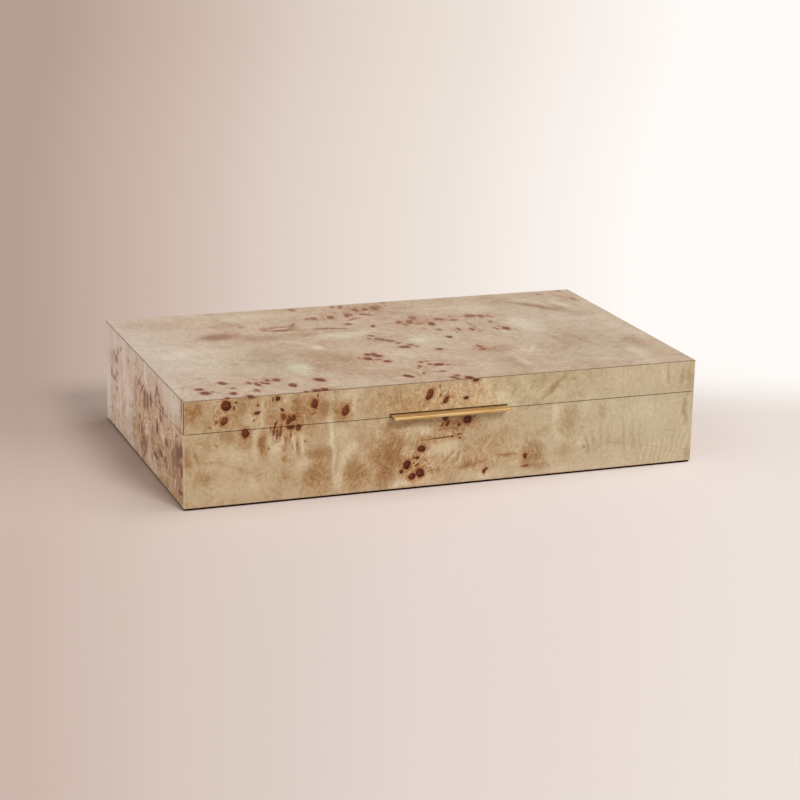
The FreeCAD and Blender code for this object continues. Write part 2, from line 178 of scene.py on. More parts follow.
# ---------------------------------------------------------------- the figure of the burl
# Read off the photo. Eyes: u, v, half sizes, tilt, darkness 0 to 1, redness 0 to 1.
FRONT_EYES = [
    (-160.4, 70.6, 3.3, 3.7, 0, 1, 0.35), (-162, 59.7, 2.3, 3.3, -35, 0.85, 0.75),
    (-155.1, 68.6, 0.8, 1.4, 0, 0.9, 0.3), (-153.3, 72.1, 1.1, 0.8, 0, 1, 0.1),
    (-147, 50, 2.7, 3.1, 0, 0.95, 0.45), (-139.1, 63.7, 2.1, 1.1, 15, 0.95, 0.4),
    (-138.4, 69.1, 0.9, 0.8, 0, 0.9, 0.4), (-141, 58.4, 0.8, 0.8, 0, 0.8, 0.6),
    (-171.3, 56.3, 0.8, 0.6, 0, 0.8, 0.5), (-167.4, 59.4, 0.6, 1.5, 0, 0.8, 0.5),
    (-168, 64.2, 1.6, 0.4, -40, 0.6, 0.6), (-169.5, 67, 0.4, 1.6, 20, 0.45, 0.6),
    (-127.7, 72.3, 0.6, 1.6, 0, 0.9, 0.4), (-124.4, 72.6, 1.5, 1.9, 0, 1, 0.1),
    (-121, 64.4, 1.3, 1.2, 0, 0.95, 0.2), (-120.4, 59.7, 1.7, 2.5, 0, 0.8, 0.6),
    (-116.3, 56.9, 1.6, 3, -15, 0.9, 0.4), (-113.1, 58.1, 1.6, 2.3, -10, 0.95, 0.3),
    (-115.3, 51.6, 2.5, 1.6, 0, 0.95, 0.1), (-109.6, 51.3, 1.9, 2.3, 0, 0.9, 0.3),
    (-127, 49.6, 0.9, 4, -8, 0.75, 0.7), (-124.6, 47.6, 0.9, 3.8, -8, 0.8, 0.7),
    (-122.2, 49, 0.9, 3.6, -8, 0.75, 0.7), (-125.9, 54.6, 0.9, 2.4, -25, 0.85, 0.5),
    (-129.2, 52, 0.5, 2.2, 0, 0.6, 0.7), (-98.1, 66.7, 2.5, 3.3, 0, 0.95, 0.4),
    (-96, 72, 0.7, 1.1, 0, 0.8, 0.4), (-102.7, 62.4, 1.2, 0.4, -35, 0.7, 0.6),
    (-98.6, 59.9, 1.9, 0.5, 15, 0.75, 0.6), (-76, 60.1, 2.3, 3.7, -20, 0.9, 0.6),
    (-142.7, 75.6, 3, 1.6, 0, 0.75, 0.4), (-130.6, 38, 0.8, 0.7, 0, 0.8, 0.7),
    (-113.7, 37, 0.5, 2.2, 8, 0.45, 0.5), (-118.7, 41.6, 0.5, 2.6, 0, 0.4, 0.5),
    (-110.6, 39.4, 0.6, 2.2, 0, 0.55, 0.4), (-105, 40.6, 0.9, 1, 0, 0.6, 0.5),
    (-115, 47, 0.5, 2.6, 0, 0.6, 0.5), (-167.4, 42.6, 1.8, 0.8, -20, 0.3, 0.9),
    (-14.4, 66.7, 2.2, 4.3, -24, 0.95, 0.65), (-2.3, 62.1, 1.6, 2.7, -30, 0.95, 0.5),
    (12.7, 62.1, 1.9, 1.3, 5, 1, 0.3), (-6.3, 65.9, 0.7, 1.9, -30, 0.7, 0.95),
    (-7.1, 72.3, 0.7, 0.7, 0, 0.95, 0.3), (-11, 64, 0.4, 1.2, -15, 0.6, 0.9),
    (2.3, 64.1, 0.5, 0.5, 0, 0.9, 0.5), (7.7, 58.3, 0.5, 0.5, 0, 0.8, 0.6),
    (-18.9, 58.4, 0.6, 0.9, 0, 0.75, 0.8), (19.6, 74.9, 2.2, 1.6, 0, 1, 0.45),
    (-2.4, 48.1, 1.7, 2, -30, 0.9, 0.3), (-0.6, 44.7, 1.2, 2.1, -30, 0.9, 0.4),
    (-4.6, 44, 0.8, 1.8, -30, 0.6, 0.7), (14.1, 46.1, 3, 2.9, 0, 1, 0.1),
    (7.7, 42.7, 1.3, 1.1, 0, 0.95, 0.25), (19, 48, 0.8, 1, 0, 0.7, 0.4), (2.9, 34.7, 1, 0.9, 0, 0.9, 0.4),
    (8, 35.9, 2, 0.7, 8, 0.85, 0.7), (8.7, 33.1, 1.3, 0.8, -10, 0.95, 0.4),
    (-6.5, 34.4, 9.5, 0.42, 3, 0.85, 0.8), (-19.7, 27.7, 2.7, 2.3, 0, 1, 0.2),
    (-22.9, 21.4, 1.8, 1.2, 0, 0.95, 0.3), (-25.3, 21.6, 0.8, 0.9, 0, 0.95, 0.3),
    (-25.3, 17.7, 0.7, 0.8, 0, 0.95, 0.4), (-23.1, 16.1, 2.1, 0.6, 22, 0.9, 0.4),
    (-30.6, 17, 2.7, 3.5, -12, 1, 0.15), (-34.4, 12.3, 1.3, 1.5, 0, 0.95, 0.3),
    (-20.6, 10.4, 3, 3.4, 0, 1, 0.25), (-26.4, 8, 2.7, 2.4, 20, 1, 0.25),
    (-16, 13.7, 0.6, 0.7, 0, 0.7, 0.8), (-6.7, 12.3, 0.5, 1.8, -30, 0.5, 0.9),
    (-11.8, 11, 0.5, 1.2, 10, 0.5, 0.9), (27.6, 6.9, 1.3, 1.5, 0, 1, 0.2),
    (29.3, 8.6, 1.2, 1.2, 0, 1, 0.2), (58.9, 15.1, 1.5, 2.3, 0, 0.95, 0.3),
    (59.4, 8, 2.6, 0.8, 5, 0.65, 0.8), (48.6, 63, 0.6, 1.6, -30, 0.4, 0.7),
    (104.6, 17.9, 0.9, 0.5, -25, 0.85, 0.4), (17, 12.6, 4.5, 1.2, 10, 0.24, 0.95),
    (27, 15.2, 3.5, 1.2, 20, 0.2, 0.95), (45, 17.6, 4, 0.7, 4, 0.25, 0.9),
]
TOP_EYES = [
    (-170.6, -96.6, 3.4, 4.3, 0, 0.85, 0.1), (-172.4, -87, 2.9, 2.6, 0, 0.85, 0.1),
    (-153, -76.4, 2.6, 3.8, 20, 0.8, 0.1), (-149.2, -90.6, 1.8, 2.1, 0, 0.6, 0.1),
    (-152.6, -102.6, 2.4, 3.2, -15, 0.85, 0.1), (-159.4, -111.6, 1.5, 1.4, 0, 0.9, 0.3),
    (-143.8, -110.8, 2.1, 2, 0, 0.9, 0.2), (-135.2, -99.6, 1.9, 3, 0, 0.7, 0.2),
    (-138, -100.5, 1.6, 0.8, 0, 0.6, 0.2), (-135.2, -81, 1.6, 2.5, 0, 0.75, 0.2),
    (-130.6, -85.4, 1.7, 3.8, 8, 0.8, 0.3), (-126.2, -83.4, 1.3, 3.2, 15, 0.8, 0.2),
    (-123.4, -85.6, 1.4, 2.5, 10, 0.8, 0.1), (-121.6, -78.4, 1.7, 2.5, 0, 0.8, 0.1),
    (-115.2, -78.8, 2.6, 3.5, 0, 0.75, 0.1), (-108, -94.2, 2.7, 4.4, 0, 0.85, 0.15),
    (-86.2, -86.6, 3.4, 4.8, 25, 0.9, 0.1), (-96.4, -110.6, 2.8, 2.6, 0, 0.9, 0.1),
    (-90.4, -110, 2.6, 3, 0, 0.95, 0.1), (-104, -111.5, 1.6, 1.6, 0, 0.8, 0.4),
    (-128.8, -73.6, 0.6, 3, 30, 0.5, 0.4), (-165, -94.8, 0.9, 1.6, 0, 0.8, 0.5),
    (-181.6, -80.5, 1.4, 1.2, 0, 0.4, 0.3), (-164.6, -61, 1.4, 1.6, 0, 0.3, 0.2),
    (-131, -33, 3, 3, 0, 0.14, 0.1), (-36, -43.8, 2.9, 3.9, 10, 0.9, 0.15),
    (-32.6, -33.6, 2.1, 3, 0, 0.85, 0.15), (-28, -34.4, 2.5, 3.6, 0, 0.85, 0.1),
    (-26.4, -38.6, 2.6, 3.2, 0, 0.85, 0.1), (-30, -47.6, 2.2, 1.8, 0, 0.5, 0.2),
    (-25, -54.4, 2.6, 3, 0, 0.8, 0.2), (-41, -39.5, 0.9, 2.2, 0, 0.5, 0.3),
    (-9.5, 4.5, 3.4, 5.4, 40, 0.51, 0.1), (-4, -1, 2.4, 3.8, 40, 0.65, 0.1),
    (-12.4, 16, 1.8, 3.2, 20, 0.64, 0.25), (-16.4, 9, 1.2, 2.8, 10, 0.51, 0.3),
    (-14.5, 2, 0.8, 2.8, 0, 0.42, 0.4), (-7.4, 24, 1.8, 2.2, 20, 0.26, 0.3),
    (0, -8.6, 1.9, 1.8, 0, 0.7, 0.1), (0.4, -20.4, 4, 3.4, -15, 0.75, 0.1),
    (6.8, -16, 2.2, 2.8, 30, 0.6, 0.2), (9.6, -21.4, 1.3, 2.2, 0, 0.6, 0.2),
    (-1.6, 42.6, 1.3, 3.2, -22, 0.81, 0.05), (23, -33.6, 2.7, 2.7, 0, 0.75, 0.05),
    (54, -34.4, 2.1, 2.2, 0, 0.65, 0.5), (53.4, -41.6, 2.7, 1.9, 0, 0.8, 0.4),
    (42.4, -2.4, 2, 3, 0, 0.85, 0.05), (-2.6, -62.6, 1.7, 2.1, 0, 0.8, 0.2),
    (2.6, -61.6, 1.3, 1.6, 0, 0.7, 0.3), (7.2, -72.2, 3.6, 2.9, 15, 0.95, 0.15),
    (1.4, -70, 1.7, 2.2, 0, 0.75, 0.2), (12.8, -74.8, 1.8, 1.6, 0, 0.5, 0.3),
    (-7.6, -73, 1.4, 2.8, -20, 0.85, 0.3), (-10.2, -77.6, 0.8, 1.2, 0, 0.7, 0.5),
    (-24, -94.6, 2.5, 4.7, 25, 0.95, 0.15), (-16.2, -93, 0.8, 1.8, 0, 0.7, 0.4),
    (-11, -90.4, 1.3, 2, -20, 0.7, 0.5), (-14, -86.6, 1, 0.7, 0, 0.6, 0.6),
    (-5.6, -83, 1.1, 0.8, 0, 0.5, 0.7), (3.4, -89.6, 2.5, 1.6, 0, 0.6, 0.2),
    (9, -102.6, 2, 2.4, 0, 0.75, 0.2), (5.6, -107.6, 1.8, 4.2, 30, 0.85, 0.15),
    (15.4, -109.6, 2.8, 3.2, 0, 1, 0.1), (-24, 76.4, 2.7, 4.8, -20, 0.59, 0.05),
    (-10.5, 78, 1.8, 5, -15, 0.64, 0.35), (-7.2, 80, 1.4, 4, 0, 0.51, 0.4),
    (4.4, 77.4, 1.9, 5.6, 55, 0.68, 0.05), (2, 93.4, 2.2, 4.2, -10, 0.64, 0.1),
    (9.2, 92.6, 2, 3.7, 0, 0.64, 0.1), (17.5, 95, 2.4, 6.5, 0, 0.55, 0.15),
    (22, 98, 2.2, 5.5, 0, 0.42, 0.2), (-7, 104, 1.6, 4.5, -25, 0.59, 0.4),
    (-13, 105.5, 2, 3.6, -25, 0.42, 0.1), (30.5, 110.5, 2.2, 3.4, -20, 0.42, 0.4),
    (-17.4, 53.4, 2.6, 2.6, 0, 0.64, 0.1), (-9, 66.4, 1.2, 6, -60, 0.64, 0.6),
    (-37.6, 76.6, 2.8, 4.2, 0, 0.55, 0.4), (-43, 76, 1.6, 3, 0, 0.51, 0.3),
    (-45.6, 105.6, 2.6, 4, 0, 0.47, 0), (-30, 72, 0.7, 3.6, 0, 0.42, 0.4), (-72, 49.6, 9, 1, 0, 0.42, 0.2),
    (-72, 58.6, 9, 0.7, 0, 0.26, 0.5), (-59, 61.5, 1.8, 6.5, -30, 0.42, 0.2),
    (-84.5, 54, 1.6, 2.4, 0, 0.34, 0.3), (-98, 65, 2.4, 2.2, 0, 0.26, 0.2),
    (-117, 67.5, 1.4, 4.6, 25, 0.17, 0.5), (21, 48.4, 2, 4.6, -20, 0.51, 0.35),
    (29.6, 47.5, 2.6, 6.4, -20, 0.51, 0.05), (35.6, 57.6, 2.8, 4.4, 0, 0.51, 0.1),
    (35, 40, 2.6, 3, -20, 0.42, 0.3), (23.4, 39.6, 1.5, 3.4, 0, 0.42, 0.4),
    (43.6, 37, 2.3, 4.7, -10, 0.77, 0), (54, 49, 3.9, 3.2, -20, 0.59, 0.25),
    (64, 43.4, 2.9, 2.3, 0, 0.55, 0.4), (65, 54, 1.4, 2.8, -20, 0.3, 0.6),
    (80.5, 51.6, 4.4, 4.2, 0, 0.59, 0), (88.6, 49.4, 2.4, 4.4, 0, 0.59, 0.25),
    (95, 47, 2, 4.4, 10, 0.3, 0.6), (42.8, 19.6, 2.3, 2.8, 0, 0.51, 0.1), (33, 26, 1.2, 3, 0, 0.3, 0.3),
    (57.4, 16.6, 1.3, 3.2, 0, 0.68, 0.1), (51.5, 14.5, 0.7, 2, 0, 0.42, 0.6),
    (53.6, 10, 0.8, 1.4, 0, 0.42, 0.5), (67, 13.6, 1.6, 3.6, 0, 0.72, 0.1),
    (70.8, 18, 0.9, 3, 0, 0.51, 0.3), (71.6, 29.4, 1.1, 3.4, 10, 0.47, 0.1),
    (71, 7.4, 0.8, 1.8, 0, 0.42, 0.4), (89, 31, 1.6, 3, -15, 0.55, 0.05), (93, 9, 2.6, 4.8, 0, 0.81, 0),
    (85.6, 10.4, 1, 4.4, 0, 0.64, 0.1), (90, 15.6, 0.8, 2.4, 10, 0.59, 0.1),
    (36.5, 9, 1.8, 2, 0, 0.26, 0.2), (181, 81, 1.8, 5, 0, 0.38, 0.4), (160, 103, 2.4, 2.6, 0, 0.34, 0.1),
    (174, 92, 2, 4, 0, 0.21, 0.7), (180, 108, 1.8, 3, 0, 0.34, 0.4), (99, 5, 0.7, 2, 0, 0.34, 0.3),
]
LEFT_EYES = [
    (41.5, 64.2, 2, 3.1, 0, 0.8, 0.3), (36.8, 58.4, 1.7, 1.9, 0, 0.6, 0.4),
    (48.5, 57.2, 2.6, 1.4, -20, 0.65, 0.5), (39.4, 55, 2.6, 1, 0, 0.6, 0.3),
    (57.4, 55.4, 2.2, 1.2, 0, 0.6, 0.3), (107.4, 69.7, 1.5, 5, 0, 0.75, 0.3),
    (-0.7, 53.6, 6, 0.8, 38, 0.8, 0.2), (-8.4, 57.6, 7, 0.6, 38, 0.55, 0.4),
    (14.3, 48.8, 1.9, 4.2, 0, 0.85, 0.35), (6.3, 50.5, 2.6, 4.4, 0, 0.7, 0.3),
    (5.5, 44.2, 2.2, 3.2, 10, 0.65, 0.35), (24.3, 51.3, 2.2, 4.6, 0, 0.8, 0.35),
    (41.5, 37.2, 2.3, 3.9, -10, 0.95, 0.25), (51, 46.7, 2.3, 1.8, -25, 0.75, 0.35),
    (66.8, 33.8, 3.2, 2.2, -10, 0.85, 0.5), (51.8, 21.3, 3.9, 2, -10, 0.9, 0.4),
    (63, 20, 2, 1.7, 0, 0.85, 0.35), (36.5, 15.2, 5.2, 1.5, -8, 0.9, 0.35),
    (99, 36.6, 4.4, 4.2, 0, 0.75, 0.4), (105.5, 39.5, 4, 4.4, 0, 0.8, 0.4),
    (106.8, 25.5, 2.8, 4.2, 0, 0.9, 0.3), (101, 28.5, 1.9, 1.6, 0, 0.75, 0.4),
    (104.3, 9.3, 5.2, 1.5, 5, 0.8, 0.3), (-3.2, 23.8, 1.8, 4.8, 0, 0.75, 0.4),
    (-11.5, 23, 2, 2.8, 0, 0.5, 0.4), (-16, 20, 1.4, 2, 30, 0.4, 0.4), (2.7, 15.5, 3, 4, 0, 0.5, 0.6),
    (8.5, 13, 4, 3.6, 0, 0.35, 0.7), (5.5, 7.4, 1.8, 2.6, 0, 0.8, 0.35),
    (-4.8, 11.3, 1.3, 3.2, 0, 0.65, 0.3), (-79, 54.7, 4, 2.6, -10, 0.5, 0.3),
    (-86.5, 57, 1.9, 1.7, 0, 0.5, 0.3), (-74, 61.6, 3, 1.8, 30, 0.4, 0.4),
    (-94.8, 40.5, 2.2, 3.5, 0, 0.5, 0.2), (-86, 38.4, 3.6, 1.8, 10, 0.5, 0.3),
    (-78, 44, 3, 2.2, 0, 0.35, 0.3), (-79, 32.2, 2.4, 1, 10, 0.6, 0.4), (-65, 66, 2.4, 1.6, 30, 0.35, 0.4),
    (-10.5, 30.5, 2, 1.6, 30, 0.45, 0.4), (72, 26, 1, 2.6, 0, 0.4, 0.4), (43.5, 10.6, 2.6, 1, 0, 0.5, 0.4),
    (27, 10.4, 1.2, 1.8, 0, 0.4, 0.4), (76, 47, 2.4, 0.9, 30, 0.35, 0.4),
    (97, 47.5, 2.6, 0.8, 20, 0.4, 0.4), (-42, 63, 4, 1.6, 10, 0.25, 0.3),
    (-20, 67, 2.4, 0.8, 20, 0.35, 0.3),
]
# Clouds in the figure: u, v, half sizes, tilt, how much lighter (+) or darker (-).
FRONT_CLOUDS = [
    (-184, 67, 8, 9, 10, -0.24), (-168, 66, 9, 9, 0, 0.06), (-149, 68, 6, 7, 0, -0.2),
    (-146, 59, 7, 4, 0, 0.16), (-135, 63, 1.6, 10, 0, 0.2), (-129, 66, 4, 8, 0, -0.08),
    (-118, 71, 5, 4, 30, 0.1), (-112, 64, 5, 11, 0, -0.26), (-103, 62, 6, 11, 0, -0.14),
    (-92, 62, 6, 9, 0, -0.2), (-88, 72, 3, 4, 0, 0.14), (-76, 71, 6, 4, 0, 0.2),
    (-70, 65, 2.4, 8, -25, 0.14), (-54, 65, 10, 12, 0, -0.02), (-36, 66, 12, 10, 0, -0.06),
    (5, 64, 26, 10, 0, 0.08), (28, 66, 3.4, 12, 0, 0.1), (34, 66, 3, 12, 0, -0.06),
    (46, 66, 3, 9, 0, -0.04), (36, 68, 8, 6, 0, 0.08), (56, 67, 6, 9, 0, 0.14), (40, 57, 10, 8, 0, 0.26),
    (16, 62, 12, 9, 0, 0.1), (-81, 61, 9, 8, 0, -0.16), (-128, 58, 6, 4, 0, -0.14),
    (-152, 58, 5, 4, 0, -0.16), (104, 68, 20, 7, 0, -0.1), (73, 71, 6, 4, 20, -0.14),
    (80, 65, 1.9, 13, -52, -0.3), (64, 60, 5, 4, 0, 0.08), (85, 61, 5, 2.6, 0, 0.1),
    (100, 57, 6, 3, 0, -0.12), (140, 66, 26, 8, 0, 0.07), (164.5, 67, 1.6, 8, 0, 0.16),
    (168, 67, 0.8, 7, 3, -0.36), (180, 65, 2, 8, -14, -0.28), (187, 63, 3, 10, 0, -0.14),
    (-187, 35, 3.4, 8, 0, -0.24), (-181, 38, 1.4, 6, 10, -0.2), (-172, 31, 10, 1.1, -12, -0.12),
    (-154, 26, 12, 1.2, -14, -0.1), (-175, 20, 7, 6, 0, -0.1), (-159, 49, 5, 6, 0, -0.2),
    (-148, 43, 6, 5, 0, -0.14), (-140, 41, 2.4, 12, 3, 0.18), (-134, 43, 3, 10, 0, -0.3),
    (-125, 38, 5, 9, 0, 0.16), (-119.5, 30, 3.2, 2.4, 0, -0.18), (-113, 40, 2, 6, 0, 0.2),
    (-107, 40, 2, 8, 4, 0.22), (-119, 42, 1.3, 6, 0, -0.16), (-110, 36, 1.2, 6, 0, -0.18),
    (-121, 17, 5, 4, 20, -0.12), (-125, 8, 9, 5, 0, -0.04), (-107, 23, 6, 6, -20, 0.18),
    (-160, 33, 16, 9, 0, 0.1), (-150, 12, 22, 8, 0, 0.1), (-184, 10, 6, 8, 0, 0.08),
    (-96, 31, 10, 4.5, -4, -0.24), (-96, 45, 10, 6, 0, -0.04), (-96, 15, 12, 11, 0, -0.22),
    (-85.4, 36, 1.7, 26, 2, 0.28), (-81, 12, 3.4, 9, -12, 0.24), (-77, 26, 4, 6, 0, 0.22),
    (-72, 33, 5, 4, 25, 0.26), (-76, 46, 7, 5, 0, 0.1), (-69, 14, 8, 11, 20, -0.24),
    (-62, 36, 4, 10, 0, -0.04), (-47, 25, 11, 16, -20, -0.2), (-44, 8, 9, 7, 0, -0.14),
    (-57, 47, 8, 5, 0, 0.06), (-27, 41, 10, 6, 8, 0.18), (-34, 5, 9, 4.5, 0, 0.2),
    # The dark cloud at (14, 45), under the pull, is partly dark figure and partly painted shade of the
    # pull.
    (-16, 24, 5, 3.4, 0, 0.1), (-17, 5, 6, 5, 0, 0.2), (3, 42, 9, 4, 0, -0.24), (14, 45, 8, 5, 0, -0.22),
    (-36, 28, 15, 22, 0, -0.1), (12, 7, 8, 4, 0, 0.12), (-30, 46, 16, 3, 0, -0.16),
    (-3, 27, 9, 4, 10, 0.26), (-35, 2, 8, 3, 0, 0.2), (-16, 40, 6, 3, 10, 0.2), (-32, 27, 4, 3, 0, 0.16),
    (-38, 12, 2.4, 6, 0, 0.14), (0, 21, 1.1, 5, -52, -0.22), (3, 22, 1, 5, -52, 0.24),
    (6, 20, 1.1, 5, -50, -0.2), (9, 19, 1, 5, -50, 0.2), (14, 24, 1.2, 5, -46, -0.12),
    (30, 5, 9, 3.5, 0, 0.2), (17, 13, 9, 3, 6, -0.2), (47, 17, 9, 2, 0, -0.16), (36, 30, 14, 10, 0, -0.08),
    (66, 17, 6, 9, 0, -0.34), (73, 33, 11, 3, 18, -0.1), (80.5, 45, 2.8, 9, 0, 0.24),
    (82, 29, 3, 4, 0, 0.14), (93, 39, 7.5, 12, 0, -0.22), (101, 20, 3, 2.4, 0, 0.26),
    (107.5, 18, 1.3, 6, 14, -0.24), (90, 17, 10, 5, 0, -0.2), (66, 8, 10, 5, 0, -0.16),
    (124, 19, 22, 6, 0, -0.1), (112, 25, 1.3, 9, 3, -0.14), (117, 27, 1.2, 9, 4, -0.14),
    (122, 25, 1.4, 10, 4, -0.18), (134.5, 26, 1.5, 13, 5, -0.26), (142.5, 24, 1.3, 12, 4, -0.24),
    (147, 22, 1.3, 11, 4, -0.2), (152, 24, 1.2, 10, 4, -0.1), (118, 42, 3, 6, 0, -0.22),
    (127, 19, 7, 1.2, 0, -0.14), (104, 46, 5, 5, 0, 0.12), (155, 43, 14, 8, 0, 0.08),
    (184, 40, 1.9, 11, 0, -0.36), (188, 7, 3, 7, -24, -0.26), (100, 3, 70, 3.5, 0, 0.12),
    (160, 45, 1, 9, 2, -0.1),
]
TOP_CLOUDS = [
    (-122, 42, 15, 11, 20, -0.36), (-62, -44, 26, 26, -25, -0.13), (-92, 32, 16, 10, 0, -0.14),
    (-62, -6, 5, 8, 0, 0.2), (-35, 22, 14, 10, 0, 0.18), (-158, 0, 26, 50, 0, 0.1),
    (-150, 5, 26, 7, 4, 0.1), (-105, -22, 15, 15, 0, -0.05), (-72, 54.5, 8, 2.2, 0, 0.4),
    (-72, 54, 13, 7, 0, -0.26), (-72, 49, 8, 2.2, 0, -0.2), (-45, -78, 20, 10, 0, -0.06),
    (-105, 76, 10, 10, 0, -0.14), (-99, 86, 6, 9, 20, 0.12), (-175, 92, 10, 9, 0, -0.1),
    (-150, 82, 10, 12, 0, -0.08), (-5, -40, 18, 14, 0, 0.08), (-90, -56, 8, 15, 0, 0.2),
    (115, 92, 14, 18, 0, -0.12), (143, 66, 24, 4.5, -48, -0.3), (150, 78, 20, 4, -48, 0.14),
    (125, -22, 14, 26, 10, -0.07), (118, -30, 2.4, 20, 10, -0.12), (134, -34, 2, 20, 10, -0.12),
    (66, -42, 14, 8, 0, -0.12), (60, -78, 22, 22, 0, -0.06), (112, 20, 12, 24, 0, 0.2),
    (150, 22, 22, 12, 0, 0.06), (70, -78, 4, 16, 0, 0.16), (165, 70, 3, 16, 15, 0.24),
    (156, 66, 3, 16, 15, -0.16), (172, -52, 10, 16, 0, -0.18), (160, -80, 5, 22, 0, 0.12),
    (90, 76, 26, 12, 0, 0.08), (-80, 98, 20, 8, 0, 0.06), (180, -30, 10, 60, 0, 0.1),
    (30, 2, 18, 18, 0, 0.08), (16, -5, 6, 10, 0, 0.16), (-33, 43, 16, 1.6, -8, -0.34),
    (-30, 36, 14, 1.5, -8, -0.12), (-14, 28, 10, 6, 0, 0.14), (12, 92, 22, 16, 0, -0.08),
    (32, 46, 12, 8, 0, -0.1), (88, -50, 1.6, 16, -30, 0.12), (-184, 30, 12, 80, 0, 0.04),
    (-62, 34, 16, 8, 0, -0.1), (-152, 32, 10, 12, 0, -0.1),
]
LEFT_CLOUDS = [
    # The lighter clouds over the back half and the back top are partly paler wood and partly a painted
    # reflection veil.
    (-82, 66, 26, 13, 0, 0.26), (-56, 60, 5, 17, 4, 0.26), (-106, 50, 8, 30, 0, 0.26),
    (-84, 71, 4, 6, 0, 0.24), (-30, 66, 14, 12, 0, 0.16), (10, 68, 2.6, 9, 0, 0.62),
    (-92, 40, 14, 9, 0, 0.12), (-45, 44, 5, 13, 0, 0.26), (-68, 34, 2.4, 26, 3, 0.3),
    (-74, 10, 26, 12, 0, 0.1), (-58, 24, 2, 20, 3, -0.14), (-48, 22, 6, 18, 0, 0.26),
    (-36, 34, 3, 22, 0, 0.2), (-28, 20, 3, 18, 0, -0.12), (-38, 8, 12, 8, 0, 0.1),
    (85, 66, 18, 8, 10, 0.26), (62, 70, 8, 5, 0, 0.1), (28, 24, 3.2, 16, 0, -0.26),
    (20, 8, 14, 5, 0, 0.16), (40, 8, 20, 5, 0, 0.08), (84, 26, 2.4, 14, 0, -0.18),
    (76, 30, 3, 18, 0, 0.06), (96, 34, 10, 10, 0, -0.34), (5, 14, 9, 8, 0, -0.22),
    (12, 32, 10, 7, 0, 0.12), (58, 36, 6, 8, 0, 0.08), (28, 40, 5, 10, 0, 0.06), (-88, 54, 9, 6, 0, -0.14),
    (-88, 40, 10, 4, 0, -0.16), (-34, 62, 8, 4, 20, -0.14), (8, 48, 13, 9, 0, -0.14),
    (72, 10, 24, 6, 0, 0.1), (46, 18, 18, 8, 0, -0.06), (-74, 24, 50, 34, 0, 0.18),
    (-108, 20, 14, 26, 0, 0.24), (80, 16, 36, 24, 0, -0.16), (-98, 40, 2, 26, 4, -0.18),
    (-66, 52, 2.4, 18, 6, -0.2), (-50, 16, 2, 16, 4, -0.18), (-24, 44, 2.6, 18, 6, -0.22),
    (-14, 60, 2, 12, 14, -0.2), (-84, 20, 2, 14, 0, -0.14), (-40, 58, 2, 12, 10, -0.14),
    (-6, 34, 2, 10, 8, -0.14),
]
# Orange staining, on top of that round each eye: u, v, half sizes, tilt, how strong.
FRONT_STAINS = [
    (5, 64, 26, 9, 0, 0.85), (-34, 64, 24, 10, 0, 0.35), (-22, 14, 14, 13, 20, 0.9), (4, 43, 14, 6, 0, 1),
    (-34, 40, 14, 10, 0, 0.35), (30, 26, 26, 16, 0, 0.3), (-118, 56, 12, 12, 0, 0.65),
    (-162, 64, 9, 11, 0, 0.65), (17, 13, 11, 4, 6, 0.4), (64, 14, 8, 7, 0, 0.9),
    (-48, 24, 11, 16, -20, 0.45), (-147, 46, 5, 6, 0, 0.6), (-100, 62, 7, 8, 0, 0.5),
    (-77, 60, 5, 6, 0, 0.6), (-8, 33, 12, 3, 3, 0.8), (-184, 66, 6, 9, 0, 0.5), (46, 17, 9, 2.5, 0, 0.5),
    (-119.5, 30, 3.4, 2.8, 0, 0.5), (-96, 14, 9, 9, 0, 0.35), (-70, 12, 8, 9, 0, 0.45),
    (-168, 42, 2.4, 1.5, -20, 0.8), (92, 38, 7, 12, 0, 0.35), (100, 57, 5, 3, 0, 0.5),
    (118, 42, 3, 6, 0, 0.4), (107, 17, 2, 4, 14, 0.6), (80, 65, 2, 12, -52, 0.4), (184, 40, 2, 11, 0, 0.4),
    (187, 64, 3, 9, 0, 0.3), (22, 66, 8, 10, 0, 0.25),
]
TOP_STAINS = [
    (-128, -84, 13, 9, 0, 0.55), (-163, -77, 4, 8, 0, 0.8), (-172, -92, 7, 7, 0, 0.35),
    (-35, -40, 11, 10, 0, 0.6), (-10, 8, 9, 13, 30, 0.7), (55, -38, 9, 8, 0, 0.9),
    (70, -45, 12, 7, 0, 0.5), (-12, -85, 13, 9, 0, 0.6), (4, 86, 30, 20, 0, 0.55),
    (32, 47, 14, 10, 0, 0.8), (58, 47, 12, 8, 0, 0.7), (88, 48, 13, 8, 0, 0.7), (60, 14, 26, 9, 0, 0.35),
    (-38, 76, 9, 8, 0, 0.7), (-33, 43, 14, 3, -8, 0.9), (178, 92, 8, 16, 0, 0.5), (-73, 53, 14, 7, 0, 0.6),
    (8, -72, 10, 5, 0, 0.5), (-100, 74, 10, 10, 0, 0.3), (-60, -50, 22, 20, 0, 0.25),
    (-92, -108, 10, 4, 0, 0.6), (14, -107, 9, 4, 0, 0.5), (136, 70, 12, 5, -48, 0.3),
    (128, -20, 8, 22, 0, 0.2),
]
LEFT_STAINS = [
    (50, 34, 60, 22, 0, 0.55), (100, 30, 12, 18, 0, 0.6), (8, 47, 13, 10, 0, 0.7), (4, 14, 11, 10, 0, 0.8),
    (-76, 12, 26, 12, 0, 0.75), (45, 18, 14, 7, 0, 0.5), (-76, 58, 12, 9, 0, 0.3), (107, 66, 3, 8, 0, 0.5),
    (-12, 22, 8, 10, 0, 0.5), (-40, 24, 14, 22, 0, 0.45), (42, 60, 12, 8, 0, 0.5),
    (-84, 46, 16, 14, 0, 0.35), (-8, 54, 12, 12, 0, 0.5),
]
